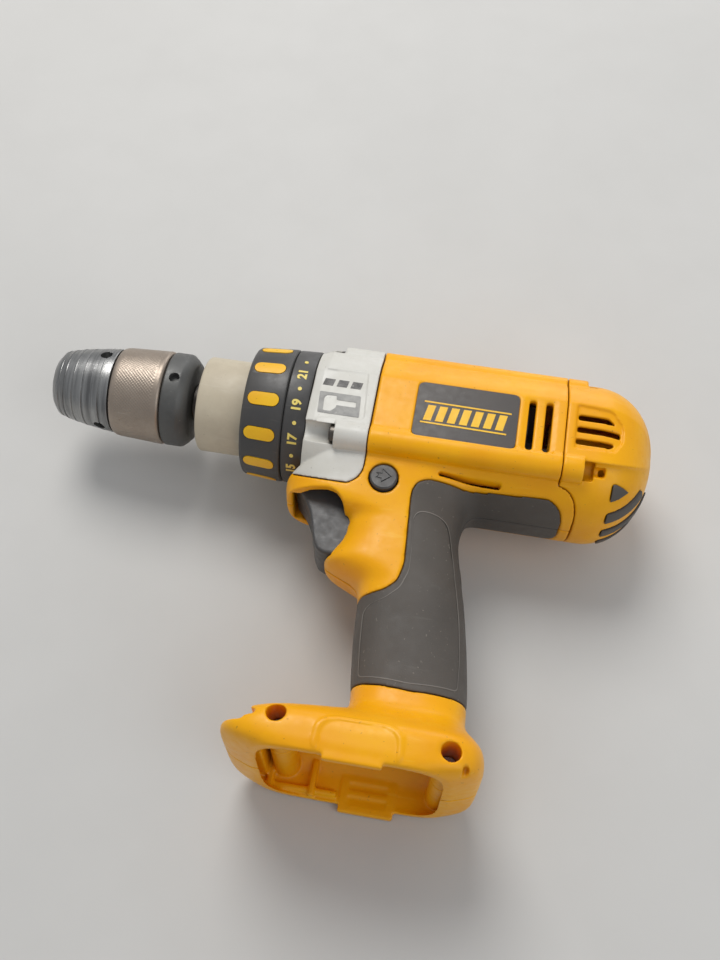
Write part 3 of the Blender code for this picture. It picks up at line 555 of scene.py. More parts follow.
def piece(name, shape, paint, body, *nodes, slot=None, crease=34.0):
    """The shape as a finished piece that rides on a body and stands for CAD nodes."""
    for vert in shape.verts:
        vert.co = ORIGIN + vert.co * MM
    obj = as_object(name, shape)
    obj.data.shade_smooth()
    if crease:
        obj.data.set_sharp_from_angle(angle=math.radians(crease))
    obj.data.materials.append(FINISHES[paint])
    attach(obj, body)
    if nodes:
        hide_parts(*nodes)
    return obj


# ---------------------------------------------------------------- the housing's surfaces

def barrel_reach(angle, inset):
    """Distance from the axis to the motor housing's side, at an angle from +Y towards +Z."""
    up, side = math.cos(angle), abs(math.sin(angle))
    reach = SPINE_RADIUS
    if up < 0.0:
        spread = ((-up / BELLY_DEPTH) ** BELLY_SQUARENESS
                  + (side / BELLY_HALF) ** BELLY_SQUARENESS)
        reach = spread ** (-1.0 / BELLY_SQUARENESS)
    if side > 0.3:
        panel = PANEL_Z / side
        if PANEL_Y[0] <= panel * up <= PANEL_Y[1]:
            reach = panel
    return reach - inset


def barrel_ring(x, inset, scale=1.0, steps=180):
    angles = around(steps)
    reaches = [barrel_reach(angle, inset) * scale for angle in angles]
    return [(x, reach * math.cos(a), reach * math.sin(a)) for a, reach in zip(angles, reaches)]


def barrel(x_range, inset=0.0):
    return loft([barrel_ring(x, inset) for x in x_range])


def ridges(x_range, grow=0.0, upper_start=None):
    """The four screw ridges over a stretch of the tool."""
    upper_range = (upper_start or x_range[0], x_range[1])
    upper = rod(upper_range, UPPER_RIDGE_RADIUS + grow, UPPER_RIDGE)
    lower = rod(x_range, LOWER_RIDGE_RADIUS + grow, LOWER_RIDGE)
    return (*both_sides(upper), *both_sides(lower))


def between(values, share):
    """A point on the smooth curve through four values, between the second and the third."""
    before, first, second, after = values
    return 0.5 * (2 * first + (second - before) * share
                  + (2 * before - 5 * first + 4 * second - after) * share ** 2
                  + (3 * first - before - 3 * second + after) * share ** 3)


def handle_levels(steps=3):
    """The handle's levels with smooth ones added between them."""
    levels = []
    last = len(HANDLE_LEVELS) - 1
    for index in range(last):
        four = [HANDLE_LEVELS[min(max(index + step, 0), last)] for step in (-1, 0, 1, 2)]
        for step in range(steps):
            levels.append([between(column, step / steps) for column in zip(*four)])
    levels.append(HANDLE_LEVELS[last])
    return levels


def handle(inset=0.0, end=None, steps=120):
    """The grip, trigger housing and foot as one loft from top to bottom."""
    rings = []
    for y, front, rear, half, square in handle_levels():
        middle = (front + rear) / 2
        reach = (rear - front) / 2 - inset
        ring = []
        for angle in around(steps):
            along = math.copysign(abs(math.cos(angle)) ** (2 / square), math.cos(angle))
            across = math.copysign(abs(math.sin(angle)) ** (2 / square), math.sin(angle))
            ring.append((middle + reach * along, y, (half - inset) * across))
        rings.append(ring)
    if end is not None:
        rings.append([(x, end, z) for x, y, z in rings[-1]])
    return loft(rings)


WEB_X = (158.0, 226.0)           # where the grip runs into the motor housing in a soft bend
WEB_Y = (-64.0, -23.0)
WEB_PASSES = 70


def housing_outside(inset=0.0, foot_end=None):
    """The outer surface of both housing halves, or one inside it, with the bend softened."""
    shape = joined(barrel((BARREL[0] - inset, BELLY_END + inset), inset), handle(inset, foot_end))
    shape = moulded(shape, 0.9, 0, 1.0)
    web = [vert for vert in shape.verts
           if WEB_X[0] < vert.co.x < WEB_X[1] and WEB_Y[0] < vert.co.y < WEB_Y[1]]
    for _ in range(WEB_PASSES):
        bmesh.ops.smooth_vert(shape, verts=web, factor=0.5, use_axis_x=True, use_axis_y=True,
                              use_axis_z=True)
    return shape


def dome(inset=0.0):
    """The end cap's outer surface: a straight stretch and then a rounded end."""
    depth = REAR_X - DOME_START
    rings = [barrel_ring(CAP_START - 1.0, inset)]
    for index in range(17):
        turn = math.radians(5.0 * index)
        x = DOME_START + (depth - inset) * math.sin(turn)
        rings.append(barrel_ring(x, inset, math.cos(turn) ** 0.9))
    return loft(rings)


def case_outside(grow=0.0):
    """The gear case with its four ridges, two cheeks, and a notch for the housing's lip."""
    start, end = CASE[0] - grow, CASE[1] + grow
    body = loft([
        barrel_ring(start, 1.6 - grow),
        barrel_ring(start + 5.0, -grow),
        barrel_ring(end, -grow),
    ])
    notch_half = TRIGGER_HALF + GAP - grow
    notch = box((start - 1.0, end + 1.0), (-60.0, -33.0 - grow), (-notch_half, notch_half))
    low = CHEEK_Y - grow
    front = CHEEK_FRONT - grow
    corner = [(end - 9.0 + 9.0 * math.sin(turn), low + 9.0 - 9.0 * math.cos(turn))
              for turn in (math.radians(10.0 * index) for index in range(10))]
    side_view = ((front, -20.0), (front, low), *corner, (end, -20.0))
    section = loft([[(x, y - grow, z - grow) for y, z in CHEEK_SECTION] for x in (90.0, 160.0)])
    cheek = kept_inside(handle(-grow), prism(side_view, 0.0, 60.0), section)
    ring_room = rod((80.0, start), 29.9 - grow, steps=96)
    body = joined(body, *ridges((130.0 - grow, end), grow, upper_start=127.0 - grow),
                  *both_sides(cheek))
    return cut(body, notch, ring_room)


def seam_region(grow=0.0):
    """The part of the housing that stays in front of the end cap's curved seam."""
    radius = SEAM_RADIUS + grow
    arc = [(BARREL[1] + radius * math.cos(turn), SEAM_CENTRE_Y + radius * math.sin(turn))
           for turn in (math.radians(7.5 * index) for index in range(13))]
    outline = ((BARREL[1] + radius, -90.0), *arc, (200.0, SEAM_CENTRE_Y + radius), (200.0, -90.0))
    return prism(outline, -60.0, 60.0)


# ---------------------------------------------------------------- housing shells

VENT_STARTS = (206.8, 213.8)
VENT_WIDTH = 2.9
VENT_Y = (-17.2, 6.2)
SLIT_X = (174.0, 200.0)
SLIT_Y = (-30.9, -29.3)


def label_outline(grow=0.0):
    (left, right), (low, high) = LABEL_X, LABEL_Y
    corners = ((left - grow, low - grow), (right + grow, low - grow),
               (right + grow, high + grow), (left - grow, high + grow))
    return rounded(corners, 2.8)


def slot_cut(x_range, y_range, z_range, reach=1.0):
    (left, right), (low, high) = x_range, y_range
    return prism(rounded(((left, low), (right, low), (right, high), (left, high)), reach), *z_range)


def side_cuts():
    """The vents, their shallow field, the slit and the label's recess in the left half."""
    cuts = [slot_cut((start, start + VENT_WIDTH), VENT_Y, (24.0, 40.0)) for start in VENT_STARTS]
    field_x = (VENT_STARTS[0] - 1.7, VENT_STARTS[1] + VENT_WIDTH + 1.7)
    field_y = (VENT_Y[0] - 1.4, VENT_Y[1] + 1.4)
    cuts.append(slot_cut(field_x, field_y, (PANEL_Z - 0.35, 40.0), 1.5))
    cuts.append(slot_cut(SLIT_X, SLIT_Y, (12.0, 40.0), 0.6))
    cuts.append(prism(label_outline(GAP), PANEL_Z - LABEL_THICKNESS - GAP, 40.0))
    return cuts


def rubber_region(grow=0.0):
    """Everything inside the soft cover's outline, or a little more."""
    outline = rounded(RUBBER_OUTLINE, 2.2)
    if grow:
        moved = []
        for before, here, after in zip(outline[-1:] + outline[:-1], outline,
                                       outline[1:] + outline[:1]):
            along = (Vector(after) - Vector(before)).normalized()
            moved.append((here[0] - along.y * grow, here[1] + along.x * grow))
        outline = tuple(moved)
    return prism(outline, -60.0, 60.0)


FOOT_STEP = ((100.0, -145.4), (118.4, -145.4), (119.6, -145.2), (120.4, -144.2), (121.4, -143.6),
             (123.4, -143.2), (124.2, -142.2), (123.8, -141.2), (122.4, -140.8), (121.6, -139.8),
             (121.6, -120.0), (100.0, -120.0))


def foot_details():
    """What stands on the left side of the foot and inside its far wall: solids and cuts."""
    near = HALF_WIDTH
    badge = rounded(((145.6, -152.6), (146.2, -142.6), (151.0, -139.6), (171.0, -139.2),
                     (176.6, -142.4), (177.2, -152.6)), 3.0)
    inner = rounded(((147.0, -154.0), (147.6, -143.4), (151.8, -140.9), (170.4, -140.5),
                     (175.2, -143.4), (175.8, -154.0)), 3.0)
    solids = [
        kept_inside(cut(prism(badge, 30.0, near + 0.5), prism(inner, 20.0, near + 9.0)),
                    handle(-0.55)),
        box((150.0, 171.0), (-155.4, -149.0), (near - 3.6, near - 0.2)),
    ]
    far = -near + 0.4
    ladder = cut(box((154.5, 176.5), (-156.5, -140.5), (far, far + 3.6)),
                 box((157.6, 173.4), (-147.6, -144.4), (-60.0, 0.0)),
                 box((157.6, 173.4), (-153.4, -149.8), (-60.0, 0.0)))
    solids.append(ladder)
    for x, width in ((125.0, 2.4), (142.0, 2.2), (193.6, 1.6)):
        solids.append(kept_inside(box((x, x + width), (-153.0, -139.0), (far, far + 7.0)),
                                  handle(0.6, -170.0)))
    ledge = box((127.0, 153.0), (-151.6, -149.4), (far, far + 5.5))
    solids.append(kept_inside(ledge, handle(0.6, -170.0)))
    cuts = [
        cross_rod(193.5, -145.0, (36.9, 60.0), 4.6),
        slot_cut((198.2, 200.4), (-152.8, -148.2), (30.0, 60.0), 0.8),
        prism(FOOT_STEP, -60.0, 60.0),
        cut(box((140.0, 210.0), (-127.3, -126.5), (-30.0, 30.0)), handle(0.45)),
    ]
    return solids, cuts


def housing_shell():
    """Both halves in one piece, hollow, with every opening cut."""
    shell = joined(housing_outside(), *ridges(BARREL))
    hollow = joined(barrel((CASE[0], BELLY_END - WALL), WALL), handle(WALL, -170.0))
    tray_front = box((100.0, 124.8), (-147.6, -120.0), (-60.0, 60.0))
    hollow = cut(hollow, *ridges((CASE[0], 240.0), -1.6), tray_front)
    shell = cut(shell, hollow)
    bosses = [kept_inside(cross_rod(x, y, (-36.0, 36.0), 5.2), handle(1.0))
              for x, y in FOOT_SCREWS]
    solids, cuts = foot_details()
    shell = joined(shell, *bosses, *solids)
    cap_room = cut(box((BARREL[1], 270.0), (SEAM_CENTRE_Y, 60.0), (-60.0, 60.0)), seam_region())
    trigger_room = box((116.0, 152.0), TRIGGER_ROOM_Y, (-TRIGGER_HALF - GAP, TRIGGER_HALF + GAP))
    selector_room = box((148.5, 171.5), (26.0, 40.0), (-6.8, 6.8))
    button_room = cross_rod(*BUTTON_PLACE, (-50.0, 50.0), BUTTON_RADIUS + GAP + 0.15)
    mouth = prism(rounded(TRIGGER_MOUTH, 1.6), -60.0, 60.0)
    clearance = rod((80.0, CASE[0]), 29.9, steps=96)
    rubber_space = cut(rubber_region(GAP), housing_outside(RUBBER + GAP, -158.0))
    return cut(shell, cap_room, trigger_room, selector_room, button_room, mouth, clearance,
               case_outside(GAP), rubber_space, *cuts)


def housing_halves():
    shell = housing_shell()
    screws = []
    for y, z in (UPPER_RIDGE, LOWER_RIDGE):
        screws += both_sides(rod((140.0, 172.0), 2.1, (y, z)))
        screws += both_sides(rod((196.0, 240.0), 2.1, (y, z)))
    shell = cut(shell, *screws)
    half_space = box((90.0, 280.0), (-180.0, 60.0), (GAP / 2, 60.0))
    left = kept_inside(shell.copy(), half_space.copy())
    right = kept_inside(shell, mirrored(half_space))
    half_space.free()
    head_bores = [cross_rod(x, y, (14.0, 50.0), 3.6) for x, y in FOOT_SCREWS]
    shank_bores = [cross_rod(x, y, (-22.0, 40.0), 2.1) for x, y in FOOT_SCREWS]
    right_cuts = [mirrored(shape) for shape in side_cuts()]
    left = cut(left, *side_cuts(), *head_bores, *[bore.copy() for bore in shank_bores])
    right = cut(right, *right_cuts, *shank_bores)
    for side, half in (("left", left), ("right", right)):
        piece(f"shell_{side}", moulded(half), "yellow_plastic", "drill_body", f"housing_{side}",
              crease=None)


def grip_covers():
    outside = housing_outside()
    underneath = housing_outside(RUBBER, -158.0)
    for side in ("left", "right"):
        low = GAP / 2 if side == "left" else -60.0
        half = box((100.0, 280.0), (-130.0, 0.0), (low, low + 60.0 - GAP / 2))
        cover = kept_inside(outside.copy(), rubber_region(), half)
        cover = cut(cover, underneath.copy())
        piece(f"grip_cover_{side}", moulded(cover, 0.45, 3, 0.4), "rubber", "drill_body",
              f"grip_rubber_{side}", crease=None)
        grip_line(side)
    outside.free()
    underneath.free()


def grip_line(side):
    """A fine raised line around the palm area of the soft cover."""
    outline = rounded(GRIP_LINE, 2.0)
    middle = Vector((175.0, -84.0))
    smaller = [tuple(Vector(point) + (middle - Vector(point)).normalized() * 0.45)
               for point in outline]
    low = 8.0 if side == "left" else -60.0
    ring = cut(prism(outline, low, low + 52.0), prism(smaller, -70.0, 70.0))
    line = cut(kept_inside(ring, handle(-0.1)), handle(0.4))
    piece(f"grip_line_{side}", line, "rubber_line", "drill_body", slot="rubber")


# ---------------------------------------------------------------- gear case, end cap and label

TROUGH_OUT = 1.04                # the screw heads' troughs lie this much further out
CASE_BORE = ((100.0, 0.0), (100.0, 18.6), (120.8, 18.6), (120.8, 24.6), (160.0, 24.6),
             (160.0, 0.0))


BADGE_FIELD = rounded(((119.2, -17.2), (117.6, 7.2), (139.4, 8.2), (141.2, -14.8)), 1.2)


def gear_case():
    body = case_outside()
    pockets = []
    for (y, z), seat in zip((UPPER_RIDGE, LOWER_RIDGE), CASE_SEATS):
        trough = (y * TROUGH_OUT, z * TROUGH_OUT)
        pockets += both_sides(rod((100.0, seat), 4.2, trough))
        pockets += both_sides(rod((100.0, 160.0), 2.1, (y, z)))
    body = cut(body, turned(CASE_BORE), *pockets, prism(BADGE_FIELD, 29.9, 36.0))
    piece("gear_case_shell", moulded(body, 0.42, 3, 0.4), "silver_paint", "drill_body",
          "gear_case", crease=None)


def slanted_bar(left, right, low, high, lean):
    return ((left, low), (right, low), (right + lean, high), (left + lean, high))


def case_print():
    """Worn bars over a plain hammer picture, printed on the gear case's flat field."""
    face = (29.75, 30.05)
    bars = [prism(slanted_bar(left, left + 4.2, -0.6, 2.6, 0.7), *face)
            for left in (121.4, 127.2, 133.0)]
    piece("case_bars", joined(*bars), "print_dark", "drill_body", slot="black_plastic")
    frame_outline = rounded(((121.6, -14.2), (120.9, -4.0), (138.0, -4.0), (138.8, -14.2)), 0.6)
    hammer = ((123.6, -13.0), (123.2, -6.8), (124.2, -5.4), (128.2, -5.2), (128.4, -7.2),
              (136.6, -7.2), (136.8, -9.8), (128.6, -9.8), (128.8, -10.8), (126.8, -13.0))
    picture = cut(prism(frame_outline, *face), prism(rounded(hammer, 0.6), 28.0, 32.0))
    piece("case_picture", picture, "print_grey", "drill_body", slot="black_plastic")


CAP_VENTS = (
    ((227.4, 0.5), (227.2, 3.3), (239.6, 3.3), (243.0, 0.5)),
    ((227.0, -5.2), (227.2, -2.4), (244.8, -2.4), (244.8, -5.2)),
    ((226.8, -11.0), (227.0, -8.2), (243.2, -8.2), (240.6, -11.0)),
)
CAP_FIELD = ((226.2, -13.8), (226.4, 7.6), (241.0, 6.4), (246.0, 0.4), (246.2, -6.6),
             (242.8, -12.8))
CAP_POCKET_END = 235.5
BEARING_ROOM = 12.9              # half of the square space left for the rear bearing's holder


def end_cap():
    body = joined(dome(), *ridges((CAP_START - 1.0, 231.0)))
    hollow = cut(dome(WALL - 0.6), *ridges((200.0, CAP_POCKET_END + 2.0), 0.0))
    body = cut(body, hollow)
    holder = tube((217.5, 259.5), 9.9, 12.6)
    body = joined(body, kept_inside(holder, box((217.0, 259.0), (-20.0, 20.0), (-20.0, 20.0))))
    sides = ((BEARING_ROOM, 60.0), (-60.0, -BEARING_ROOM))
    trims = [box((200.0, CAP_START), (-60.0, 60.0), side) for side in sides]
    trims += [box((200.0, CAP_START), side, (-60.0, 60.0)) for side in sides]
    trims.append(seam_region(GAP))
    for outline in CAP_VENTS:
        trims += both_sides(prism(rounded(outline, 0.5), 12.0, 60.0))
    field = cut(prism(rounded(CAP_FIELD, 1.5), 10.0, 60.0), dome(1.1))
    trims += both_sides(field)
    for y, z in (UPPER_RIDGE, LOWER_RIDGE):
        trims += both_sides(rod((CAP_SEAT, CAP_POCKET_END), 4.1, (y, z)))
        trims += both_sides(rod((210.0, 240.0), 2.1, (y, z)))
    body = cut(body, *trims)
    body = cut(body, cut(bumper_fins(GAP), dome(BUMPER_DEPTH + GAP)))
    piece("cap_shell", moulded(body, 0.5, 3, 0.35), "yellow_plastic", "drill_body", "end_cap",
          crease=None)


BUMPER_X = 244.0
BUMPER_DEPTH = 1.3


def bumper_fins(grow=0.0):
    """Five upright strips over the lower rear corner, tied together underneath."""
    start = BUMPER_X - grow
    fins = []
    for row in (-2, -1, 0, 1, 2):
        top = -13.0 - 5.5 * abs(row) + grow
        half = 2.4 + grow
        centre = 10.6 * row
        fins.append(box((start, 270.0), (-60.0, top), (centre - half, centre + half)))
    tie = box((start, 246.0 + grow), (-60.0, -35.5 + grow), (-23.6 - grow, 23.6 + grow))
    return joined(tie, *fins)


def rear_bumper():
    skin = cut(dome(-0.7), dome(BUMPER_DEPTH))
    strips = kept_inside(skin, bumper_fins())
    piece("bumper_strips", moulded(strips, 0.4, 3, 0.5), "rubber", "drill_body", "rear_bumper",
          crease=None)


def label_plates():
    for side, sign in (("left", 1.0), ("right", -1.0)):
        faces = sorted((sign * (PANEL_Z - LABEL_THICKNESS), sign * (PANEL_Z + 0.1)))
        plate = prism(label_outline(), *faces)
        piece(f"label_{side}", plate, "label_black", "drill_body", f"label_plate_{side}",
              slot="black_plastic")
        faces = sorted((sign * (PANEL_Z - 0.1), sign * (PANEL_Z + 0.24)))
        shape = prism(((164.2, -1.6), (200.0, -2.0), (200.0, -2.7), (164.2, -2.3)), *faces)
        marks = [prism(((163.6, -11.6), (198.8, -12.0), (198.8, -12.7), (163.6, -12.3)), *faces)]
        for index in range(7):
            left = 164.6 + 4.9 * index
            marks.append(prism(slanted_bar(left, left + 3.2, -10.9, -3.5, 1.4), *faces))
        piece(f"label_marks_{side}", joined(shape, *marks), "dial_yellow", "drill_body",
              slot="yellow_plastic")


# ---------------------------------------------------------------- chuck

JAW_TILT = math.radians(12.0)
JAW_TIP_OFFSET = 3.9
JAW_BORE_RADIUS = 3.3
NOSE_HOLE = (23.8, 66.2)         # x and angle of the first of three holes
RING_HOLE = (56.9, 94.7)
NOSE_GROOVES = (5.6, 8.3, 12.4, 17.0, 24.6)
KNURL_X = (31.6, 48.6)
KNURL_PITCH = 1.5                # along the axis
KNURL_COUNT = 88                 # around the sleeve
KNURL_DEPTH = 0.15


def jaw_bore(turn, steps=32):
    """The slanted bore that one jaw slides in."""
    def ring(distance):
        x = 1.0 + distance * math.cos(JAW_TILT)
        offset = JAW_TIP_OFFSET + distance * math.sin(JAW_TILT)
        points = []
        for out, across in circle(JAW_BORE_RADIUS, steps):
            height = offset + out * math.cos(JAW_TILT)
            points.append((x - out * math.sin(JAW_TILT),
                           height * math.cos(turn) - across * math.sin(turn),
                           height * math.sin(turn) + across * math.cos(turn)))
        return points
    return loft([ring(-8.0), ring(38.0)])


def pointing_out(outline, degrees, radii):
    """An (x, across) outline drawn out from the axis, at an angle from +Y towards +Z."""
    turn = math.radians(degrees)
    return loft([[(x, reach * math.cos(turn) - across * math.sin(turn),
                   reach * math.sin(turn) + across * math.cos(turn)) for x, across in outline]
                 for reach in radii])


def three_holes(place, radii, radius):
    """Rods that point out from the axis, a third of a turn apart."""
    x, first = place
    outline = [(x + along, across) for along, across in circle(radius, 40)]
    return [pointing_out(outline, first + 120.0 * index, radii) for index in range(3)]


def radius_at(profile, x):
    for (start, first), (end, second) in zip(profile, profile[1:]):
        if start <= x <= end:
            return first + (second - first) * (x - start) / (end - start)
    return profile[-1][1]


def chuck_nose():
    outside = [(2.6, 12.2), (4.2, 14.2), (9.0, 15.6), (14.0, 16.7), (22.0, 17.9), (28.0, 18.5)]
    profile = [(2.0, 4.2), (2.0, 11.4)] + outside[:2]
    for x in NOSE_GROOVES:
        reach = radius_at(outside, x)
        profile += [(x - 0.35, reach), (x - 0.1, reach - 0.3),
                    (x + 0.1, reach - 0.3), (x + 0.35, reach)]
    profile += [(28.0, 18.5), (28.6, 18.3), (29.0, 16.0), (60.0, 16.0), (CHUCK_END, 13.0),
                (CHUCK_END, 6.9), (46.0, 6.9), (46.0, 2.0), (26.0, 2.0), (26.0, 4.2)]
    bores = [jaw_bore(math.radians(30.0 + 120.0 * index)) for index in range(3)]
    holes = three_holes(NOSE_HOLE, (14.0, 22.0), 2.6)
    piece("chuck_nose", cut(turned(profile, steps=160), *bores, *holes), "worn_steel", "chuck",
          "chuck_body")


def diamond_knurl(x, radius, angle):
    """Fine raised diamonds over the sleeve's grip band."""
    start, end = KNURL_X
    if not start < x < end or radius < 19.0:
        return 0.0
    lean = 2 * math.pi * (x - start) / KNURL_PITCH
    across = KNURL_COUNT * angle
    ridge = abs(math.sin((across + lean) / 2)) * abs(math.sin((across - lean) / 2))
    return KNURL_DEPTH * ridge


def chuck_sleeve():
    start, end = KNURL_X
    profile = [(NOSE_END, 16.6), (NOSE_END, 18.4), (NOSE_END + 0.5, 19.0), (NOSE_END + 1.4, 19.4)]
    rows = 60
    for index in range(rows + 1):
        x = start + (end - start) * index / rows
        profile.append((x, 19.45 + 0.95 * (index / rows)))
    profile += [(49.4, 20.55), (50.6, 20.6), (SLEEVE_END - 1.0, 20.3), (SLEEVE_END - 0.6, 19.8),
                (SLEEVE_END - 0.6, 16.3)]
    piece("sleeve_grip", turned(profile, steps=528, relief=diamond_knurl), "sleeve_steel",
          "chuck_sleeve_grip", "chuck_sleeve", crease=60.0)


def chuck_rear():
    # The rear ring is closed at the back by a thin dark plate (CHUCK_END + 0.3 to CHUCK_END + 0.9,
    # radius 7.3 to 16.2). The plate is painted shade: a dark sheet over the gap behind the chuck,
    # where there is only shadow.
    ring = turned((
        (SLEEVE_END, 16.3), (SLEEVE_END, 20.0), (SLEEVE_END + 0.6, 20.5), (CHUCK_END - 3.4, 20.5),
        (CHUCK_END - 2.6, 20.2), (CHUCK_END - 1.0, 18.9), (CHUCK_END + 0.7, 17.0),
        (CHUCK_END + 0.9, 16.2), (CHUCK_END + 0.9, 7.3), (CHUCK_END + 0.3, 7.3),
        (CHUCK_END + 0.3, 13.2), (CHUCK_END - 2.4, 16.3)))
    holes = three_holes(RING_HOLE, (17.4, 24.0), 2.3)
    piece("chuck_rear_ring", cut(ring, *holes), "ring_steel", "chuck", "chuck_ring",
          slot="black_plastic")
    shaft = turned((
        (46.3, 0.0), (46.3, 5.6), (47.3, 6.6), (63.6, 6.6), (64.0, 8.0), (84.0, 8.0), (84.0, 11.5),
        (87.0, 11.5), (87.0, 8.0), (120.2, 8.0), (120.2, 0.0)), steps=64)
    piece("spindle_shaft", shaft, "dark_steel", "chuck", "spindle", slot="bright_steel")


# ---------------------------------------------------------------- collars and dial

MARK_COUNT = 12
MARK_FIRST = 80.0
MARK_X = 97.9
NUMBER_PITCH = 28.8
NUMBER_FIRST = 83.1
NUMBER_X = 112.3
NUMBER_RADIUS = 29.2
NUMBER_SIZE = 5.3


def handle_collar():
    start, end = HANDLE_COLLAR
    nose = turned((
        (start, 16.9), (start, 19.9), (start + 0.3, 20.4), (start + 1.0, 20.8), (end, 20.8),
        (end, 18.2), (CASE[0] + 0.6, 18.2), (CASE[0] + 0.6, 12.0), (CASE[0] - 1.6, 12.0),
        (CASE[0] - 4.0, 15.2), (end, 15.2), (end - 3.0, 16.9)))
    piece("handle_collar", nose, "cream_metal", "drill_body", "side_handle_collar")


def collar_profile(grow=0.0):
    start, end = TORQUE_COLLAR
    return [(start, 26.4 + grow), (start + 0.4, 27.2 + grow), (start + 1.4, 27.9 + grow),
            (end - 1.4, 29.1 + grow), (end - 0.5, 29.0 + grow), (end, 28.5 + grow)]


def stadium(centre_x, length, degrees, width, radii, steps=10):
    """A bar with round ends, along x, that points out from the axis at an angle."""
    half = length / 2 - width / 2
    outline = []
    for side in (1.0, -1.0):
        for index in range(steps + 1):
            angle = math.pi * index / steps - math.pi / 2
            outline.append((centre_x + side * (half + width / 2 * math.cos(angle)),
                            side * width / 2 * math.sin(angle)))
    return pointing_out(outline, degrees, radii)


def torque_collar():
    start, end = TORQUE_COLLAR
    inside = [(end, 24.2), (start + 4.0, 24.2), (start + 4.0, 18.6), (start, 18.6)]
    collar = turned(collar_profile() + inside)
    turns = [MARK_FIRST + 360.0 / MARK_COUNT * index for index in range(MARK_COUNT)]
    recesses = [stadium(MARK_X, 13.8, turn, 6.0, (26.9, 33.0)) for turn in turns]
    piece("dial_collar", cut(collar, *recesses), "black_plastic", "torque_dial", "torque_collar")
    skin = turned(collar_profile(0.25) + [(end, 26.5), (start, 25.5)])
    marks = [stadium(MARK_X, 13.3, turn, 5.5, (27.0, 33.0)) for turn in turns]
    piece("dial_marks", kept_inside(skin, joined(*marks)), "dial_yellow", "torque_dial",
          slot="yellow_plastic")


def number_ring():
    start, end = NUMBER_RING
    ring = turned((
        (start, 24.2), (start, 28.4), (start + 0.5, 29.0), (end - 0.9, 29.4), (end - 0.2, 29.1),
        (end, 28.7), (end, 24.2)))
    piece("dial_ring", ring, "black_plastic", "torque_dial", "torque_number_ring")
    shape = bmesh.new()
    for index in range(11):
        turn = math.radians(NUMBER_FIRST + NUMBER_PITCH * index)
        add_number(shape, str(21 - 2 * index), turn)
        add_dot(shape, turn - math.radians(NUMBER_PITCH / 2))
    piece("dial_numbers", shape, "number_paint", "torque_dial", slot="yellow_plastic")


def wrapped(along, up, out, turn):
    """A point of flat lettering laid round the number ring: along runs towards +Y over +Z."""
    radius = NUMBER_RADIUS + out
    angle = turn - along / radius
    return (NUMBER_X - up, radius * math.cos(angle), radius * math.sin(angle))


def add_number(shape, text, turn):
    curve = bpy.data.curves.new("number", "FONT")
    curve.body = text
    curve.size = NUMBER_SIZE
    curve.extrude = 0.2
    curve.offset = 0.2
    curve.align_x = "CENTER"
    curve.align_y = "CENTER"
    obj = bpy.data.objects.new("number", curve)
    bpy.context.scene.collection.objects.link(obj)
    graph = bpy.context.evaluated_depsgraph_get()
    mesh = bpy.data.meshes.new_from_object(obj.evaluated_get(graph))
    for vert in mesh.vertices:
        vert.co = wrapped(vert.co.x, vert.co.y, vert.co.z, turn)
    shape.from_mesh(mesh)
    bpy.data.objects.remove(obj, do_unlink=True)
    bpy.data.curves.remove(curve)
    bpy.data.meshes.remove(mesh)


def add_dot(shape, turn, radius=0.85, steps=20):
    dot = loft([[wrapped(along, up, out, turn) for along, up in circle(radius, steps)]
                for out in (-0.2, 0.25)])
    mesh = bpy.data.meshes.new("dot")
    dot.to_mesh(mesh)
    dot.free()
    shape.from_mesh(mesh)
    bpy.data.meshes.remove(mesh)


# ---------------------------------------------------------------- controls

def trigger():
    blade = prism(rounded(TRIGGER_OUTLINE, 1.6), -TRIGGER_HALF, TRIGGER_HALF)
    piece("trigger_blade", moulded(blade, 0.55, 14, 0.6), "black_plastic", "trigger_body", "trigger",
          crease=None)


def direction_button():
    x, y = BUTTON_PLACE

    def cap(low, high, rim):
        levels = ((low, BUTTON_RADIUS), (rim, BUTTON_RADIUS), (high, BUTTON_RADIUS - 0.6))
        return loft([[(x + along, y + up, z) for along, up in circle(radius, 64)]
                     for z, radius in levels])

    body = joined(cross_rod(x, y, (-23.0, 23.0), 3.0), cap(17.0, 23.7, 23.2),
                  cap(-17.0, -23.7, -23.2))
    arrow = ((x - 3.2, y + 1.3), (x - 2.4, y + 0.1), (x - 3.2, y - 1.1), (x - 0.9, y - 1.2),
             (x - 0.7, y - 3.2), (x + 3.3, y + 0.2), (x - 0.9, y + 3.5), (x - 0.8, y + 1.4))
    middle = Vector((x - 0.2, y + 0.15))
    inner = [tuple(middle + (Vector(point) - middle) * 0.74) for point in arrow]
    grooves = []
    for faces in ((23.3, 26.0), (-26.0, -23.3)):
        grooves.append(cut(prism(arrow, *faces), prism(inner, -30.0, 30.0)))
    piece("button_caps", cut(body, *grooves), "black_plastic", "direction_lever",
          "direction_button")


def selector():
    base = box((149.0, 161.0), (26.5, 30.6), (-6.4, 6.4))
    teeth = [box((153.0 + 1.1 * step, 153.7 + 1.1 * step), (29.0, 32.4), (-5.0, 5.0))
             for step in range(4)]
    block = joined(base, box((153.0, 157.0), (29.0, 31.8), (-5.0, 5.0)), *teeth)
    piece("selector_slide", block, "black_plastic", "gear_selector", "speed_selector")


# ---------------------------------------------------------------- screws and inner parts

def six_lobes(x_range, radius, centre, steps=48):
    """A six-lobed driver socket along x."""
    rings = []
    for x in x_range:
        ring = []
        for angle in around(steps):
            reach = radius * (1.0 + 0.14 * math.cos(6 * angle))
            ring.append((x, centre[0] + reach * math.cos(angle),
                         centre[1] + reach * math.sin(angle)))
        rings.append(ring)
    return loft(rings)


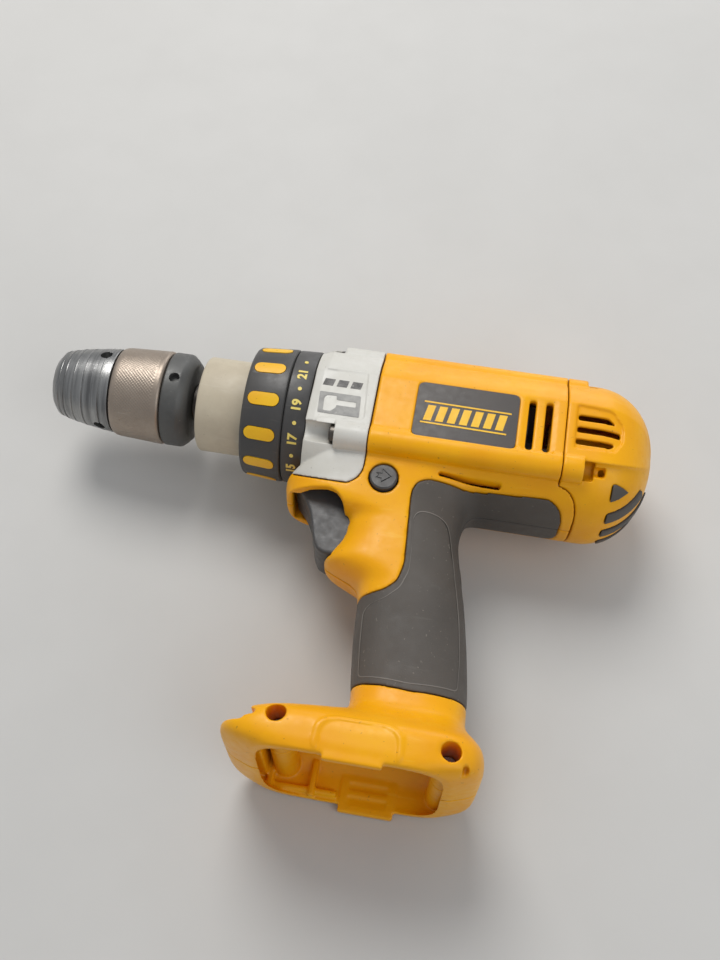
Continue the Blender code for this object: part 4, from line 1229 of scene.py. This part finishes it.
def long_screw(name, node, place, seat, direction, length):
    """A screw along x: its rounded head sits on the seat, its shank points in the direction."""
    head = seat - 2.6 * direction
    tip = seat + length * direction
    profile = ((head, 0.0), (head, 2.8), (head + 0.4 * direction, 3.4),
               (head + 1.0 * direction, 3.6), (seat, 3.6), (seat, 1.8), (tip, 1.8), (tip, 0.0))
    socket = six_lobes(sorted((head - direction, head + 1.5 * direction)), 1.6, place)
    piece(name, cut(turned(profile, place, 48), socket), "dark_steel", "drill_body", node,
          slot="bright_steel")


def long_screws():
    rows = zip(("upper", "lower"), (UPPER_RIDGE, LOWER_RIDGE), CASE_SEATS)
    for height, (y, z), seat in rows:
        for side, sign in (("left", 1.0), ("right", -1.0)):
            corner = f"{height}_{side}"
            place = (y, sign * z)
            long_screw(f"front_screw_{corner}", f"case_screw_{corner}", place, seat - GAP,
                       1.0, 34.0)
            long_screw(f"rear_screw_{corner}", f"cap_screw_{corner}", place, CAP_SEAT + GAP,
                       -1.0, 26.0)


def inner_parts():
    """The working parts inside keep their CAD shapes and get real finishes."""
    paints = {
        "bright_steel": ("chuck_jaw_", "spindle_bearing", "planet_", "motor_pinion", "ring_gear",
                         "clutch_", "motor_can", "motor_shaft", "motor_bearing_", "trigger_spring",
                         "foot_screw_"),
        "carbon": ("motor_magnet_ring", "motor_brush_", "lead_negative"),
        "copper": ("armature_core",),
        "brass": ("commutator", "battery_contact_left", "battery_contact_right"),
        "black_plastic": ("cooling_fan", "battery_contact_block"),
        "switch_red": ("brush_holder", "switch_module", "lead_positive"),
    }
    for name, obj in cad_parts.items():
        for paint, starts in paints.items():
            if name.startswith(starts):
                for slot in obj.material_slots:
                    slot.material = FINISHES[paint]


# ---------------------------------------------------------------- the whole scene

camera()
floor()
lights()
FINISHES = make_finishes()
housing_halves()
grip_covers()
gear_case()
case_print()
end_cap()
rear_bumper()
label_plates()
chuck_nose()
chuck_sleeve()
chuck_rear()
handle_collar()
torque_collar()
number_ring()
trigger()
direction_button()
selector()
long_screws()
inner_parts()
